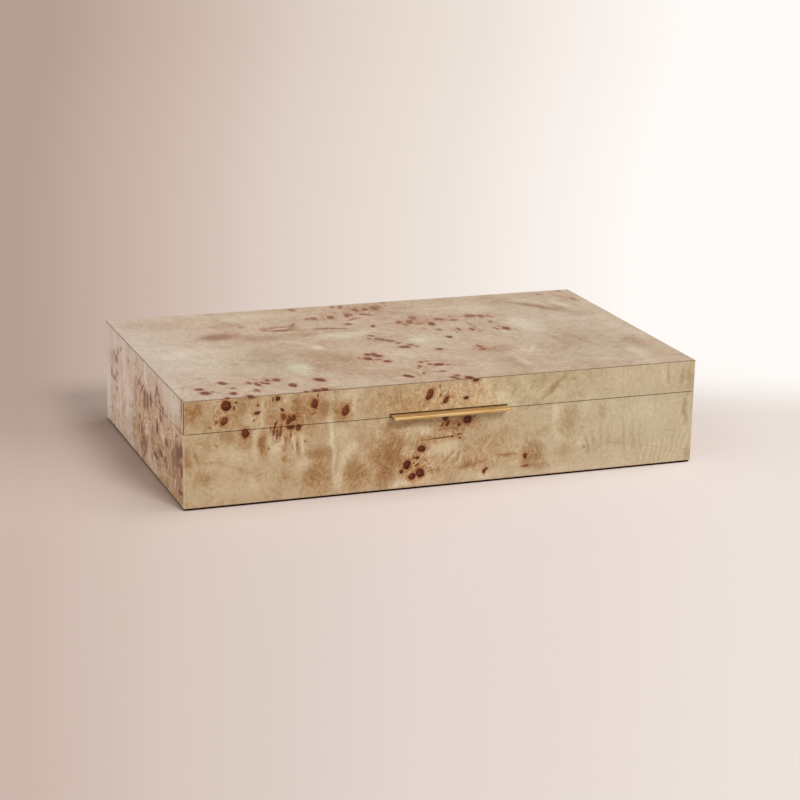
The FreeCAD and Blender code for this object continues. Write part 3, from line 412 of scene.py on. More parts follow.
# Places where the wood is rosier (+) or greener (-) than the rest: the same fields.
FRONT_CASTS = [
    (-149, 68, 7, 7, 0, -0.6), (-150, 20, 45, 25, 0, 0.25), (60, 66, 30, 14, 0, -0.5),
    (100, 62, 16, 10, 0, -0.4), (-25, 8, 24, 7, 0, 0.6), (110, 4, 70, 5, 0, 0.5), (150, 65, 24, 8, 0, 0.2),
    (-60, 30, 10, 16, 0, 0.2), (105, 40, 14, 12, 0, -0.4), (184, 40, 4, 12, 0, -0.5),
    (-180, 12, 14, 12, 0, -0.2), (186, 62, 5, 9, 0, -0.4),
]
TOP_CASTS = [
    (-120, 43, 22, 13, 10, 0.9), (-182, 20, 12, 80, 0, 0.2), (-104, -30, 30, 40, 0, -0.9),
    (10, 88, 30, 20, 0, 0.5), (35, 50, 26, 10, 0, 0.5), (86, 50, 14, 8, 0, 0.8),
    (150, -20, 60, 90, 0, -0.35), (65, -48, 16, 9, 0, 0.6), (-60, -48, 24, 20, 0, 0.2),
    (-70, 52, 16, 9, 0, 0.5), (182, -60, 12, 50, 0, 0.4), (150, 15, 30, 12, 0, 0.2),
    (20, 0, 26, 20, 0, -0.5), (120, 90, 20, 20, 0, -0.3), (-140, 80, 50, 24, 0, 0.2),
    (-88, -60, 14, 22, 0, -0.4), (130, -60, 40, 40, 0, -0.5), (-30, 25, 20, 16, 0, -0.5),
]
LEFT_CASTS = [
    # The rosy cast at the back top is partly paler wood and partly a painted reflection veil.
    (-80, 56, 34, 22, 0, 0.9), (-5, 58, 20, 12, 0, 0.5), (90, 65, 20, 9, 0, -0.9), (8, 46, 14, 10, 0, 0.6),
    (4, 12, 12, 10, 0, 0.6), (-40, 22, 12, 22, 0, -0.5), (100, 34, 12, 10, 0, 0.6),
    (60, 70, 12, 6, 0, -0.3),
]
# Places where the wood is paler and flatter: the same fields. On the left face, the pale patches along the
# top are partly paler wood and partly a painted reflection veil.
FRONT_HAZES = [(150, 38, 100, 70, 0, 0.55)]
TOP_HAZES = [(-200, 20, 60, 150, 0, 0.45), (150, 30, 60, 120, 0, 0.12)]
LEFT_HAZES_AND_PAINTED_VEIL = [(-90, 66, 70, 40, 0, 0.55), (90, 74, 50, 20, 0, 0.4), (10, 72, 60, 16, 0, 0.3)]
FAN_STREAKS = 19
# How close to the edges the marks on the unseen faces come.
FIGURE_MARGIN = 4


def fan_clouds():
    """Fine light and dark streaks that fan upwards from the lower right of the front."""
    marks = []
    for number in range(FAN_STREAKS):
        share = number / (FAN_STREAKS - 1)
        amount = -0.10 if number % 2 else 0.12
        marks.append((150 + 40 * share, 10 + 4 * share, 0.8, 12, -5 - 13 * share, amount))
    return marks


def scattered_figure(seed, half_length, clusters):
    """All kinds of marks, scattered in the same manner, for a face that the photo doesn't show."""
    draw = np.random.default_rng(seed)
    top = SIDE_HEIGHT - FIGURE_MARGIN
    eyes, clouds, stains, casts = [], [], [], []

    def anywhere():
        return draw.uniform(-half_length, half_length), draw.uniform(FIGURE_MARGIN, top)

    for _ in range(clusters):
        u, v = anywhere()
        spread = draw.uniform(7, 14)
        stains.append((u, v, spread * 1.1, spread * 0.9, 0, draw.uniform(0.3, 0.7)))
        for _ in range(int(draw.integers(4, 11))):
            size = draw.choice([0.7, 1.2, 2.0, 2.8], p=[0.35, 0.3, 0.2, 0.15])
            eyes.append((u + draw.normal(0, spread * 0.6), v + draw.normal(0, spread * 0.5),
                         size * draw.uniform(0.8, 1.2), size * draw.uniform(0.9, 1.6),
                         draw.uniform(-30, 30), draw.uniform(0.6, 1.0), draw.uniform(0.1, 0.8)))
    for _ in range(clusters * 5):
        clouds.append((*anywhere(), draw.uniform(3, 20), draw.uniform(8, 18),
                       draw.uniform(-20, 20), draw.uniform(-0.28, 0.26)))
        casts.append((*anywhere(), draw.uniform(10, 30), draw.uniform(8, 18),
                      0, draw.uniform(-0.5, 0.5)))
    return eyes, clouds, stains, casts, [(0, top, 90, 60, 0, 0.25)]


FIGURES = {
    "front": (FRONT_EYES, FRONT_CLOUDS + fan_clouds(), FRONT_STAINS, FRONT_CASTS, FRONT_HAZES),
    "top": (TOP_EYES, TOP_CLOUDS, TOP_STAINS, TOP_CASTS, TOP_HAZES),
    "left": (LEFT_EYES, LEFT_CLOUDS, LEFT_STAINS, LEFT_CASTS, LEFT_HAZES_AND_PAINTED_VEIL),
    "right": scattered_figure(seed=11, half_length=HALF_DEPTH, clusters=7),
    "back": scattered_figure(seed=23, half_length=HALF_WIDTH, clusters=11),
}
# How far soft noise moves the marks' outlines, and the noise's size: a coarse one and a fine one.
WANDERS = ((3.0, 17.0), (1.3, 5.0))
WANDER_APART = 7.3
WANDER_SEED = 1
CLOUD_EDGE = 1.4
SWIRL_BLEND = 1.6
SWIRL_LEAST, SWIRL_MOST = -3, 40


def turned(points, mark):
    """Points in a mark's own frame, where its outline is the unit circle."""
    u, v, half_u, half_v, tilt = mark[:5]
    angle = math.radians(tilt)
    away_u, away_v = points[:, 0] - u, points[:, 1] - v
    along = away_u * math.cos(angle) + away_v * math.sin(angle)
    across = -away_u * math.sin(angle) + away_v * math.cos(angle)
    return along / half_u, across / half_v


def wandered(points, shift):
    """Points moved about by soft noise, so that no mark comes out as a clean oval."""
    noise.seed_set(WANDER_SEED)
    moved = points.copy()
    for reach, size in WANDERS:
        for index, (u, v) in enumerate(points):
            offset = noise.noise_vector(Vector((u / size, v / size, shift)))
            moved[index] += reach * offset.x, reach * offset.y
    return moved


def summed(points, marks, edge=1.0):
    """The marks added up as humps: an edge over 1 makes them flatter on top, with steeper sides."""
    total = np.zeros(len(points))
    for mark in marks:
        along, across = turned(points, mark)
        total += mark[5] * np.exp(-(along ** 2 + across ** 2) ** edge)
    return total


def swirl_round(points, eyes):
    """Distance outside the nearest eyes, blended where two are near, for lines that run round them."""
    reach = np.zeros(len(points))
    for eye in eyes:
        beyond = (np.hypot(*turned(points, eye)) - 1) * math.sqrt(eye[2] * eye[3])
        reach += np.exp(-beyond / SWIRL_BLEND)
    return np.clip(-SWIRL_BLEND * np.log(reach + 1e-9), SWIRL_LEAST, SWIRL_MOST)


# ---------------------------------------------------------------- making objects
def box_mm(node):
    """The lowest and the highest corner of a CAD node, in millimetres."""
    return [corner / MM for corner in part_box(node)]


def add_object(name, data):
    """A new object in the scene."""
    made = bpy.data.objects.new(name, data)
    bpy.context.scene.collection.objects.link(made)
    return made


def mesh_object(name, mesh):
    """A new object from a finished bmesh."""
    data = bpy.data.meshes.new(name)
    mesh.to_mesh(data)
    mesh.free()
    return add_object(name, data)


def shade_smooth(data, sharp_angle):
    """Smooth shading that breaks at edges sharper than an angle."""
    data.polygons.foreach_set("use_smooth", [True] * len(data.polygons))
    data.set_sharp_from_angle(angle=math.radians(sharp_angle))


def bridge_rows(mesh, rows, closed=False, left_out=frozenset()):
    """Faces between neighbouring rows of vertices, apart from the (row, column) cells left out."""
    for row, (near, far) in enumerate(zip(rows, rows[1:])):
        for column in range(len(near) if closed else len(near) - 1):
            following = (column + 1) % len(near)
            if (row, column) not in left_out:
                mesh.faces.new([near[column], near[following], far[following], far[column]])


def close_back(mesh, put_back):
    """Walls from the rim of an open sheet to a flat back; put_back moves a vertex onto the back."""
    rim = [edge for edge in mesh.edges if edge.is_boundary]
    for item in bmesh.ops.extrude_edge_only(mesh, edges=rim)["geom"]:
        if isinstance(item, bmesh.types.BMVert):
            put_back(item)
    bmesh.ops.contextual_create(mesh, geom=[edge for edge in mesh.edges if edge.is_boundary])
    bmesh.ops.recalc_face_normals(mesh, faces=mesh.faces)


# ---------------------------------------------------------------- veneer sheets
SHEET_STEPS = {"front": 0.8, "top": 1.4, "left": 1.2, "right": 1.6, "back": 1.6}
# The closest that grid lines come, as a share of a step, and where the line within a rounding lies.
SPACING_SHARE = 0.3
ROUNDING_SHARE = 0.3
# How far apart the faces lie in the noise of the burl.
FACES_APART = 100.0
# Each eye's stain reaches this far beyond it, at this share of its darkness.
EYE_STAIN_REACH = 2.0
EYE_STAIN_SHARE = 0.5
EYE_FRAME_LIMIT = 60
# A face whose normal leans less than this share of the way outward belongs to a sheet's edge.
EDGE_LEAN = 0.95
# The edges of a face: along which axis, at which end.
EDGES = {"u_low": (0, 0), "u_high": (0, 1), "v_low": (1, 0), "v_high": (1, 1)}
# Where u, v and the way outward point on each face.
SIDE_AXES = {
    "front": ((1, 0, 0), (0, 0, 1), (0, -1, 0)),
    "back": ((-1, 0, 0), (0, 0, 1), (0, 1, 0)),
    "left": ((0, -1, 0), (0, 0, 1), (-1, 0, 0)),
    "right": ((0, 1, 0), (0, 0, 1), (1, 0, 0)),
    "top": ((1, 0, 0), (0, 1, 0), (0, 0, 1)),
}


def side_frame(side):
    """A face's origin, in millimetres, and its axes as rows: u, v and outward."""
    axes = np.array(SIDE_AXES[side], float)
    origin = axes[2] * (HALF_WIDTH, HALF_DEPTH, LID_TOP)
    if side != "top":
        origin[2] = FELT_HEIGHT
    return origin, axes


def place_on(side, u, v, depth):
    """Where a point of a face laid out flat sits on the box, in millimetres."""
    origin, axes = side_frame(side)
    return Vector(origin + (u, v, -depth) @ axes)


def on_face(side, places):
    """Places on the box, in millimetres, as u, v and height over the face."""
    origin, axes = side_frame(side)
    return (np.array(places) - origin) @ axes.T


def eased_edges(body, side):
    """The edges of a sheet that are rounded over."""
    if side == "top":
        return set(EDGES)
    ends = {"u_low", "u_high"} if side in ("front", "back") else set()
    return ends | ({"v_low"} if body == "base" else set())


def edge_lines(body, side):
    """The edges of a sheet that show as a dark line (+) or a pale painted highlight (-), and how strongly.
    """
    if body == "base":
        # The pale line on the base's front left corner is a painted highlight.
        return {"u_low": -1.0, "v_low": 0.9} if side == "front" else {"v_low": 0.6}
    return {"front": {"u_low": 1.0}, "top": {"u_low": 0.6, "v_low": 0.8}}.get(side, {})


def grid_lines(low, high, step, eased_low, eased_high, extra):
    """Where the grid lines lie, and how far each one stands into the rounding at an end."""
    rounding = [0.0, ROUNDING_SHARE * EDGE_RADIUS, EDGE_RADIUS]
    first = [low + r for r in rounding] if eased_low else [low]
    last = [high - r for r in rounding] if eased_high else [high]
    count = max(2, round((high - low) / step))
    spacing = SPACING_SHARE * step
    keep = [x for x in np.linspace(low, high, count + 1)
            if first[-1] + spacing < x < last[-1] - spacing]
    for line in extra:
        keep = [x for x in keep if abs(x - line) > spacing] + [line]
    lines = np.array(sorted(set(first + keep + last)))
    near_low = np.where(eased_low, EDGE_RADIUS - (lines - low), 0)
    near_high = np.where(eased_high, EDGE_RADIUS - (high - lines), 0)
    return lines, np.maximum(near_low, near_high).clip(0)


def face_grid(mesh, side, extent, eased, notches):
    """The outer face of a sheet, rounded down at its eased edges and open at its notches."""
    grids = []
    for axis, (low, high) in enumerate(extent):
        ends = [name in eased for name in ("uv"[axis] + "_low", "uv"[axis] + "_high")]
        extra = [x for notch in notches for x in notch[axis] if low < x < high]
        grids.append(grid_lines(low, high, SHEET_STEPS[side], *ends, extra))
    (us, near_us), (vs, near_vs) = grids
    rows = []
    for v, near_v in zip(vs, near_vs):
        row = []
        for u, near_u in zip(us, near_us):
            reach = min(EDGE_RADIUS, math.hypot(near_u, near_v))
            depth = EDGE_RADIUS - math.sqrt(EDGE_RADIUS ** 2 - reach ** 2)
            row.append(mesh.verts.new(place_on(side, u, v, depth) * MM))
        rows.append(row)
    open_cells = {(row, column)
                  for row, v in enumerate((vs[:-1] + vs[1:]) / 2)
                  for column, u in enumerate((us[:-1] + us[1:]) / 2)
                  if any(left < u < right and bottom < v < top
                         for (left, right), (bottom, top) in notches)}
    bridge_rows(mesh, rows, left_out=open_cells)
    loose = [vert for vert in mesh.verts if not vert.link_faces]
    bmesh.ops.delete(mesh, geom=loose, context="VERTS")


def veneer_sheet(body, side, look, notches=()):
    """A sheet of veneer with rounded outside edges, carrying the figure of its face."""
    node = f"{body}_{side}_veneer"
    extent = np.sort(on_face(side, box_mm(node)), axis=0)[:, :2].T
    outward = Vector(SIDE_AXES[side][2])

    def put_back(vert):
        above = on_face(side, vert.co / MM)[2]
        vert.co -= outward * (above + VENEER_THICKNESS) * MM

    mesh = bmesh.new()
    face_grid(mesh, side, extent, eased_edges(body, side), notches)
    close_back(mesh, put_back)
    piece = mesh_object(node + "_sheet", mesh)
    lay_figure(piece.data, side, edge_lines(body, side), extent)
    shade_smooth(piece.data, sharp_angle=50)
    piece.data.materials.append(look)
    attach(piece, body)
    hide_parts(node)
    return piece


def flat_points(data, side):
    """Each vertex of a sheet as a point of its flat face, in millimetres."""
    places = np.empty(len(data.vertices) * 3)
    data.vertices.foreach_get("co", places)
    return on_face(side, places.reshape(-1, 3) / MM)[:, :2]


def corners_and_centres(data, points):
    """The vertex and the face of each face corner, and the middle of each face."""
    corners = np.empty(len(data.loops), int)
    totals = np.empty(len(data.polygons), int)
    data.loops.foreach_get("vertex_index", corners)
    data.polygons.foreach_get("loop_total", totals)
    owner = np.repeat(np.arange(len(totals)), totals)
    centres = np.column_stack([np.bincount(owner, points[corners, axis]) / totals
                               for axis in (0, 1)])
    return corners, owner, centres


def write_attribute(data, name, domain, values):
    """Adds a named attribute to a mesh: numbers, or vectors where the values have rows."""
    kind, field = ("FLOAT_VECTOR", "vector") if values.ndim == 2 else ("FLOAT", "value")
    made = data.attributes.new(name, kind, domain)
    made.data.foreach_set(field, values.astype(np.float32).ravel())


def write_nearest_eyes(data, eyes, at_corner, owner, centres):
    """The two eyes nearest to each face: each corner's place in their frames, and their looks."""
    away = np.column_stack([np.hypot(*turned(centres, eye)) for eye in eyes])
    nearest = np.argsort(away, axis=1)[:, :2]
    looks = np.array([(eye[5], eye[6], math.sqrt(eye[2] * eye[3])) for eye in eyes])
    local = np.array([np.column_stack(turned(at_corner, eye)) for eye in eyes])
    for order, tag in enumerate("ab"):
        chosen = nearest[:, order]
        flat = local[chosen[owner], np.arange(len(owner))]
        flat = np.column_stack([flat, np.zeros(len(flat))]).clip(-EYE_FRAME_LIMIT, EYE_FRAME_LIMIT)
        write_attribute(data, "eye_" + tag, "CORNER", flat)
        write_attribute(data, "look_" + tag, "FACE", looks[chosen])


def edge_marks(data, side, lines, extent, centres):
    """How dark (+) each face at a sheet's edges is, or how pale with a painted highlight (-); the flat of
    the sheet has none.
    """
    normals = np.empty(len(data.polygons) * 3)
    data.polygons.foreach_get("normal", normals)
    leaning = abs(normals.reshape(-1, 3) @ SIDE_AXES[side][2]) <= EDGE_LEAN
    marks = np.zeros(len(data.polygons))
    for edge, shade in lines.items():
        axis, end = EDGES[edge]
        near = abs(centres[:, axis] - extent[axis, end]) < EDGE_RADIUS
        marks[leaning & near] = shade
    return marks


def lay_figure(data, side, lines, extent):
    """Writes what the burl material reads: place on the face, tones, stain, eyes and edge marks."""
    eyes, clouds, stains, casts, hazes = FIGURES[side]
    number = list(FIGURES).index(side)
    points = flat_points(data, side)
    moved = wandered(points, WANDER_APART * number)
    place = np.column_stack([points, np.full(len(points), FACES_APART * number)])
    write_attribute(data, "sheet_mm", "POINT", place)
    round_eyes = [(*eye[:2], eye[2] + EYE_STAIN_REACH, eye[3] + EYE_STAIN_REACH, eye[4],
                   EYE_STAIN_SHARE * eye[5]) for eye in eyes]
    levels = {
        "tone": summed(moved, clouds, CLOUD_EDGE),
        "cast": summed(moved, casts),
        "haze": summed(points, hazes),
        "stain": 1 - np.exp(-summed(moved, stains + round_eyes)),
        "swirl": swirl_round(points, eyes),
    }
    for name, values in levels.items():
        write_attribute(data, name, "POINT", values)
    corners, owner, centres = corners_and_centres(data, points)
    write_nearest_eyes(data, eyes, points[corners], owner, centres)
    marks = edge_marks(data, side, lines, extent, centres)
    write_attribute(data, "edge_mark", "FACE", marks)


# ---------------------------------------------------------------- the burl material
# Noise scales are per millimetre of the sheet, and weights are shares of the tone ramp.
ROSY_TINT = "#FFF4F6"
GREEN_TINT = "#F4FBF6"
DARK_EDGE = "#54301F"
# A painted highlight on the base's front left corner.
PAINTED_EDGE_HIGHLIGHT = "#DCCDB4"
TONE_PLACES = (0.05, 0.28, 0.5, 0.72, 0.95)
# How the burl looks on the faces that the photo shows: the front, the top, the left. The left column's
# tones are paler than the front's: partly paler wood, partly painted light for the left face.
LOOKS = {
    "tones": (("#8B6842", "#A6865D", "#B9A281", "#C8B796", "#D9CDB0"),
              ("#8A674C", "#A88A71", "#BEA991", "#CFC1AB", "#E0DAD0"),
              ("#885F40", "#B99068", "#DBBC97", "#EFDDC4", "#FFF9F2")),
    "level": (0.5, 0.5, 0.53),
    "clouds": (1.25, 1.3, 1.1),
    "stretch": ((1.2, 0.75, 1), (0.85, 0.95, 1), (1.3, 0.55, 1)),
    "curl": (0.32, 0.42, 0.40),
    "ripple": (0.26, 0.14, 0),
    "streak": (0.10, 0, 0.85),
    "streak_scale": (0.42, 0.42, 0.22),
    "figure": (0.62, 0.50, 0.80),
    "figure_stretch": ((1.4, 0.7, 1), (1.1, 0.36, 1), (0.55, 0.40, 1)),
    "rings": (0.6, 0.5, 0.4),
    "lacquer": (1.25, 1.2, 1.45),
    "haze": ("#C3BCA1", "#C8C3BD", "#F1E9E3"),
    "pale": ("#DDCB9E", "#DDCBB4", "#EBDCCB"),
    "orange": ("#F4C68C", "#EACDBE", "#E6CDAE"),
    "halo": ("#8E5328", "#A0623F", "#94603F"),
    "ring": ("#6E3216", "#84442C", "#7E4C33"),
    "rim": ("#3A150A", "#4A160A", "#4A1C0C"),
    "core": ("#623019", "#6C2C18", "#6A301A"),
    "red_core": ("#84431F", "#945030", "#8C4E30"),
}


def eye_layers(nodes, tag, shake):
    """How far a point is into an eye: its dark body, its lighter heart, the halo round it."""
    dark, red, size = nodes.add("SeparateXYZ", {0: nodes.attribute("look_" + tag, "Vector")}).outputs
    give = nodes.math("DIVIDE", 3.4, nodes.math("ADD", size, 1.0))
    moved = nodes.add("VectorMath", {0: shake, "Scale": give}, operation="SCALE").outputs[0]
    local = nodes.vector("ADD", nodes.attribute("eye_" + tag, "Vector"), moved)
    away = nodes.vector("LENGTH", nodes.scaled(local, (1, 1, 0)), output="Value")
    soft = nodes.math("DIVIDE", 0.30, size)
    core = nodes.smooth(away, nodes.math("ADD", 1.0, soft), nodes.math("SUBTRACT", 1.0, soft))
    off_centre = nodes.vector("MULTIPLY_ADD", local, (1, 1, 0), (0.22, -0.18, 0))
    aside = nodes.vector("LENGTH", off_centre, output="Value")
    beyond = nodes.times(nodes.math("SUBTRACT", away, 1.0), size)
    return {
        "core": nodes.times(core, dark),
        "heart": nodes.times(nodes.smooth(aside, 1.05, 0.50), nodes.smooth(size, 0.6, 2.0)),
        "halo": nodes.times(nodes.smooth(beyond, 2.8, -0.4),
                            nodes.times(nodes.smooth(size, 0.3, 2.4), dark)),
        "red": nodes.times(core, red),
        "large": nodes.times(core, nodes.smooth(size, 0.4, 1.6)),
    }


def ring_lines(nodes, sheet, swirl):
    """Thin broken lines that run round the eyes, as the fibres do: dark ones and pale ones."""
    bend = nodes.noise(sheet, 0.30, 3, 0.6)
    wave = nodes.math("SINE", nodes.linear(bend, 16.0, nodes.times(swirl, 3.4)))
    gaps = nodes.smooth(nodes.noise(sheet, 0.40, 1), 0.42, 0.66)
    near = nodes.times(nodes.smooth(swirl, -0.2, 0.6), nodes.smooth(swirl, 6.0, 2.6))
    close = nodes.times(near, gaps)
    dark = nodes.times(nodes.smooth(wave, 0.35, 0.9), close)
    pale = nodes.times(nodes.smooth(wave, -0.3, -0.9), close)
    return dark, pale


def specks(nodes, sheet, wobble, wanted):
    """Small dark pin knots, thick where they are wanted and rare elsewhere."""
    cells = nodes.add("TexVoronoi", {"Vector": nodes.vector("ADD", sheet, wobble), "Scale": 0.55})
    chance = nodes.add("SeparateXYZ", {0: cells.outputs["Color"]}).outputs
    size = nodes.linear(chance[1], 0.17, 0.13)
    dot = nodes.smooth(cells.outputs["Distance"], size, nodes.times(size, 0.4))
    drawn = nodes.smooth(nodes.linear(wanted, 0.66, chance[0]), 0.98, 1.06)
    return nodes.times(dot, drawn)


def wood_tone(nodes, sheet, look):
    """Lightness of the bare wood, from the clouds down to the fibres; also the curl and the warp."""
    warped = nodes.shifted(sheet, nodes.drift(sheet, 0.035), 24.0)
    folded = nodes.shifted(warped, nodes.drift(warped, 0.13), 9.0)
    cloud = nodes.noise(nodes.scaled(warped, look["stretch"]), 0.055, 4, 0.55)
    curl = nodes.noise(nodes.scaled(folded, look["stretch"]), 0.17, 4, 0.62)
    ripple = nodes.noise(nodes.scaled(folded, (0.20, 1.5, 1)), 0.62, 2, 0.55)
    figure = nodes.noise(nodes.scaled(folded, look["figure_stretch"]), 0.40, 3, 0.65, 1.0)
    fibre = nodes.noise(nodes.scaled(warped, (1.5, 0.4, 1)), 1.2, 3, 0.6)
    streaks = nodes.noise(nodes.scaled(folded, (1.0, 0.13, 1)), look["streak_scale"], 3, 0.6)
    grain = nodes.noise(sheet, 2.0, 2, 0.6)
    busy = nodes.linear(nodes.attribute("stain"), 3.2, 1.0)
    busy = nodes.linear(nodes.attribute("haze"), 2.2, busy)
    tone = nodes.linear(nodes.attribute("tone"), look["clouds"], look["level"])
    tone = nodes.swung(tone, (cloud, 0.45), (curl, look["curl"]), (ripple, look["ripple"]),
                       (fibre, 0.26), (grain, 0.26), (streaks, look["streak"]),
                       (figure, nodes.times(busy, look["figure"])))
    return tone, curl, folded, fibre


def tinted_wood(nodes, tone, folded, stain, look):
    """The colour of the bare wood, with its casts, hazes and orange staining."""
    base = nodes.ramp(tone, TONE_PLACES, look["tones"])
    cast = nodes.attribute("cast")
    base = nodes.mix(nodes.times(cast, 1.0, clamp=True), base, ROSY_TINT, "MULTIPLY")
    base = nodes.mix(nodes.times(cast, -1.0, clamp=True), base, GREEN_TINT, "MULTIPLY")
    # On the left face the haze mix is partly paler wood and partly a painted reflection veil.
    base = nodes.mix(nodes.attribute("haze"), base, look["haze"])
    patch = nodes.smooth(nodes.noise(folded, 0.26, 3, 0.6), 0.38, 0.60)
    orange = nodes.times(stain, nodes.linear(patch, 0.70, 0.18))
    return nodes.mix(orange, base, look["orange"], "MULTIPLY")


def eye_colour(nodes, sheet, eye, look):
    """The colour inside an eye: a dark rim, and a mottled heart that may be red."""
    mottle = nodes.smooth(nodes.noise(sheet, 0.8, 3, 0.6), 0.36, 0.62)
    lit = nodes.times(eye["heart"], nodes.linear(mottle, 0.75, 0.25))
    core = nodes.mix(lit, nodes.mix(eye["large"], look["ring"], look["rim"]), look["core"])
    return nodes.mix(nodes.times(eye["red"], lit), core, look["red_core"])


def burl_material(side, column):
    """Mappa burl: cloudy figure, curl, fine fibre, eyes and pin knots under a satin lacquer."""
    nodes = Shader("burl_" + side)
    look = {key: values[column] for key, values in LOOKS.items()}
    sheet = nodes.attribute("sheet_mm", "Vector")
    stain = nodes.attribute("stain")
    tone, curl, folded, fibre = wood_tone(nodes, sheet, look)
    base = tinted_wood(nodes, tone, folded, stain, look)

    shake = nodes.drift(sheet, 0.28, 0.4)
    first, second = eye_layers(nodes, "a", shake), eye_layers(nodes, "b", shake)
    eye = {key: nodes.math("MAXIMUM", first[key], second[key]) for key in first}
    dark_ring, pale_ring = ring_lines(nodes, sheet, nodes.attribute("swirl"))
    wanted = nodes.smooth(stain, 0.22, 0.72)
    uneven = nodes.linear(nodes.smooth(nodes.noise(sheet, 0.5, 2), 0.35, 0.65), 0.50, 0.50)
    mark = nodes.attribute("edge_mark")
    for factor, shade in (
        (nodes.times(pale_ring, nodes.times(wanted, 0.5)), look["pale"]),
        (nodes.times(eye["halo"], uneven), look["halo"]),
        (nodes.times(dark_ring, nodes.times(wanted, look["rings"])), look["ring"]),
        (nodes.times(specks(nodes, sheet, shake, stain), 0.8), look["ring"]),
        (eye["core"], eye_colour(nodes, sheet, eye, look)),
        (nodes.times(mark, 0.8, clamp=True), DARK_EDGE),
        # The pale edge mark is a painted highlight.
        (nodes.times(mark, -0.7, clamp=True), PAINTED_EDGE_HIGHLIGHT),
    ):
        base = nodes.mix(factor, base, shade)
    return nodes.finish(base, nodes.linear(curl, 0.08, 0.26), bump=fibre, bump_strength=0.05,
                        bump_distance=0.1 * MM, IOR=look["lacquer"])


# ---------------------------------------------------------------- dressing the veneers
# The lid's seam closes by this much, between these two distances in front of the box's middle.
SEAM_CLOSED = 0.42
SEAM_START, SEAM_END = 30.0, -5.0
SEAM_EDGE_DEPTH = 0.1


def close_seam(piece):
    """Brings the lower edge of a lid side down towards the hinges, where the lid sits close."""
    lowest = min(vert.co.z for vert in piece.data.vertices)
    for vert in piece.data.vertices:
        if vert.co.z < lowest + SEAM_EDGE_DEPTH * MM:
            ahead = -vert.co.y / MM
            share = min(1.0, max(0.0, (SEAM_START - ahead) / (SEAM_START - SEAM_END)))
            vert.co.z -= SEAM_CLOSED * share * MM


def pull_notch():
    """The opening in the lid's front veneer for the pull, as its ranges of u and v."""
    low, high = box_mm("lid_pull")
    top = high.z + PULL_SHADOW_GAP - FELT_HEIGHT
    return (low.x - PULL_SIDE_GAP, high.x + PULL_SIDE_GAP), (0, top)


def hinge_mortises():
    """The openings in the back veneers for the hinge leaves, as their ranges of u and v."""
    bottom = BASE_TOP - FELT_HEIGHT - LEAF_THICKNESS
    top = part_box("lid_front_veneer")[0].z / MM - FELT_HEIGHT + LEAF_THICKNESS
    mortises = []
    for hinge_side in ("left", "right"):
        low, high = box_mm(hinge_side + "_hinge_base_leaf")
        ends = (-high.x - MORTISE_CLEARANCE, -low.x + MORTISE_CLEARANCE)
        mortises.append((ends, (bottom, top)))
    return mortises


def dress_veneers():
    """Every veneer of the base and the lid as its own sheet."""
    front, top, left = (burl_material(side, column)
                        for column, side in enumerate(("front", "top", "left")))
    looks = {"front": front, "back": front, "left": left, "right": front}
    notches = {("lid", "front"): [pull_notch()]}
    notches["base", "back"] = notches["lid", "back"] = hinge_mortises()
    for side, look in looks.items():
        for body in ("base", "lid"):
            piece = veneer_sheet(body, side, look, notches.get((body, side), ()))
            if body == "lid" and side in ("left", "right"):
                close_seam(piece)
    veneer_sheet("lid", "top", top)


# ---------------------------------------------------------------- pads and felt
PAD_ROLL = 1.6
PAD_STEP = 7.0
FELT_CORNER = 1.5
FELT_ROLL = 0.3
FELT_RING_POINTS = 32
FELT_RINGS = 7


def soft_piece(mesh, name, node, body, look):
    """Turns a finished mesh into a piece that stands for a soft CAD node."""
    piece = mesh_object(name, mesh)
    shade_smooth(piece.data, sharp_angle=55)
    piece.data.materials.append(look)
    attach(piece, body)
    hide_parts(node)
    return piece


def pad_lines(half):
    """Places for a pad's points along one side, close together where the edge rolls over."""
    rolled = PAD_ROLL * (1 - np.cos(np.linspace(0, math.pi / 2, 6)))
    flat = np.linspace(PAD_ROLL - half, half - PAD_ROLL, int(2 * half / PAD_STEP))
    return np.concatenate([rolled[:-1] - half, flat, half - rolled[-2::-1]])


def pad_height(x, y, half, thickness):
    """Height of a pad over its board: crowned, a little uneven, rolled over at the edge."""
    roll, crown = 1.0, 1.0
    for place, reach in ((x, half.x), (y, half.y)):
        inside = min((reach - abs(place)) / PAD_ROLL, 1.0)
        roll *= math.sqrt(max(0.0, 1 - (1 - inside) ** 2))
        crown *= 1 - (abs(place) / reach) ** 4
    uneven = math.sin(x / 19 + 1.7 * math.sin(y / 27)) * math.sin(y / 23 + 1.3 * math.sin(x / 33))
    return thickness * (0.62 + 0.34 * crown + 0.03 * uneven) * (0.25 + 0.75 * roll)


def soft_pad(name, node, body, facing, look):
    """A covered pad with its flat back on its board; facing is +1 for up and -1 for down."""
    low, high = box_mm(node)
    middle, half, thickness = (high + low) / 2, (high - low) / 2, high.z - low.z
    board = low.z if facing > 0 else high.z

    def point(x, y):
        height = board + facing * pad_height(x, y, half, thickness)
        return Vector((middle.x + x, middle.y + y, height)) * MM

    def put_back(vert):
        vert.co.z = board * MM

    mesh = bmesh.new()
    xs = pad_lines(half.x)
    bridge_rows(mesh, [[mesh.verts.new(point(x, y)) for x in xs] for y in pad_lines(half.y)])
    close_back(mesh, put_back)
    piece = soft_piece(mesh, name, node, body, look)


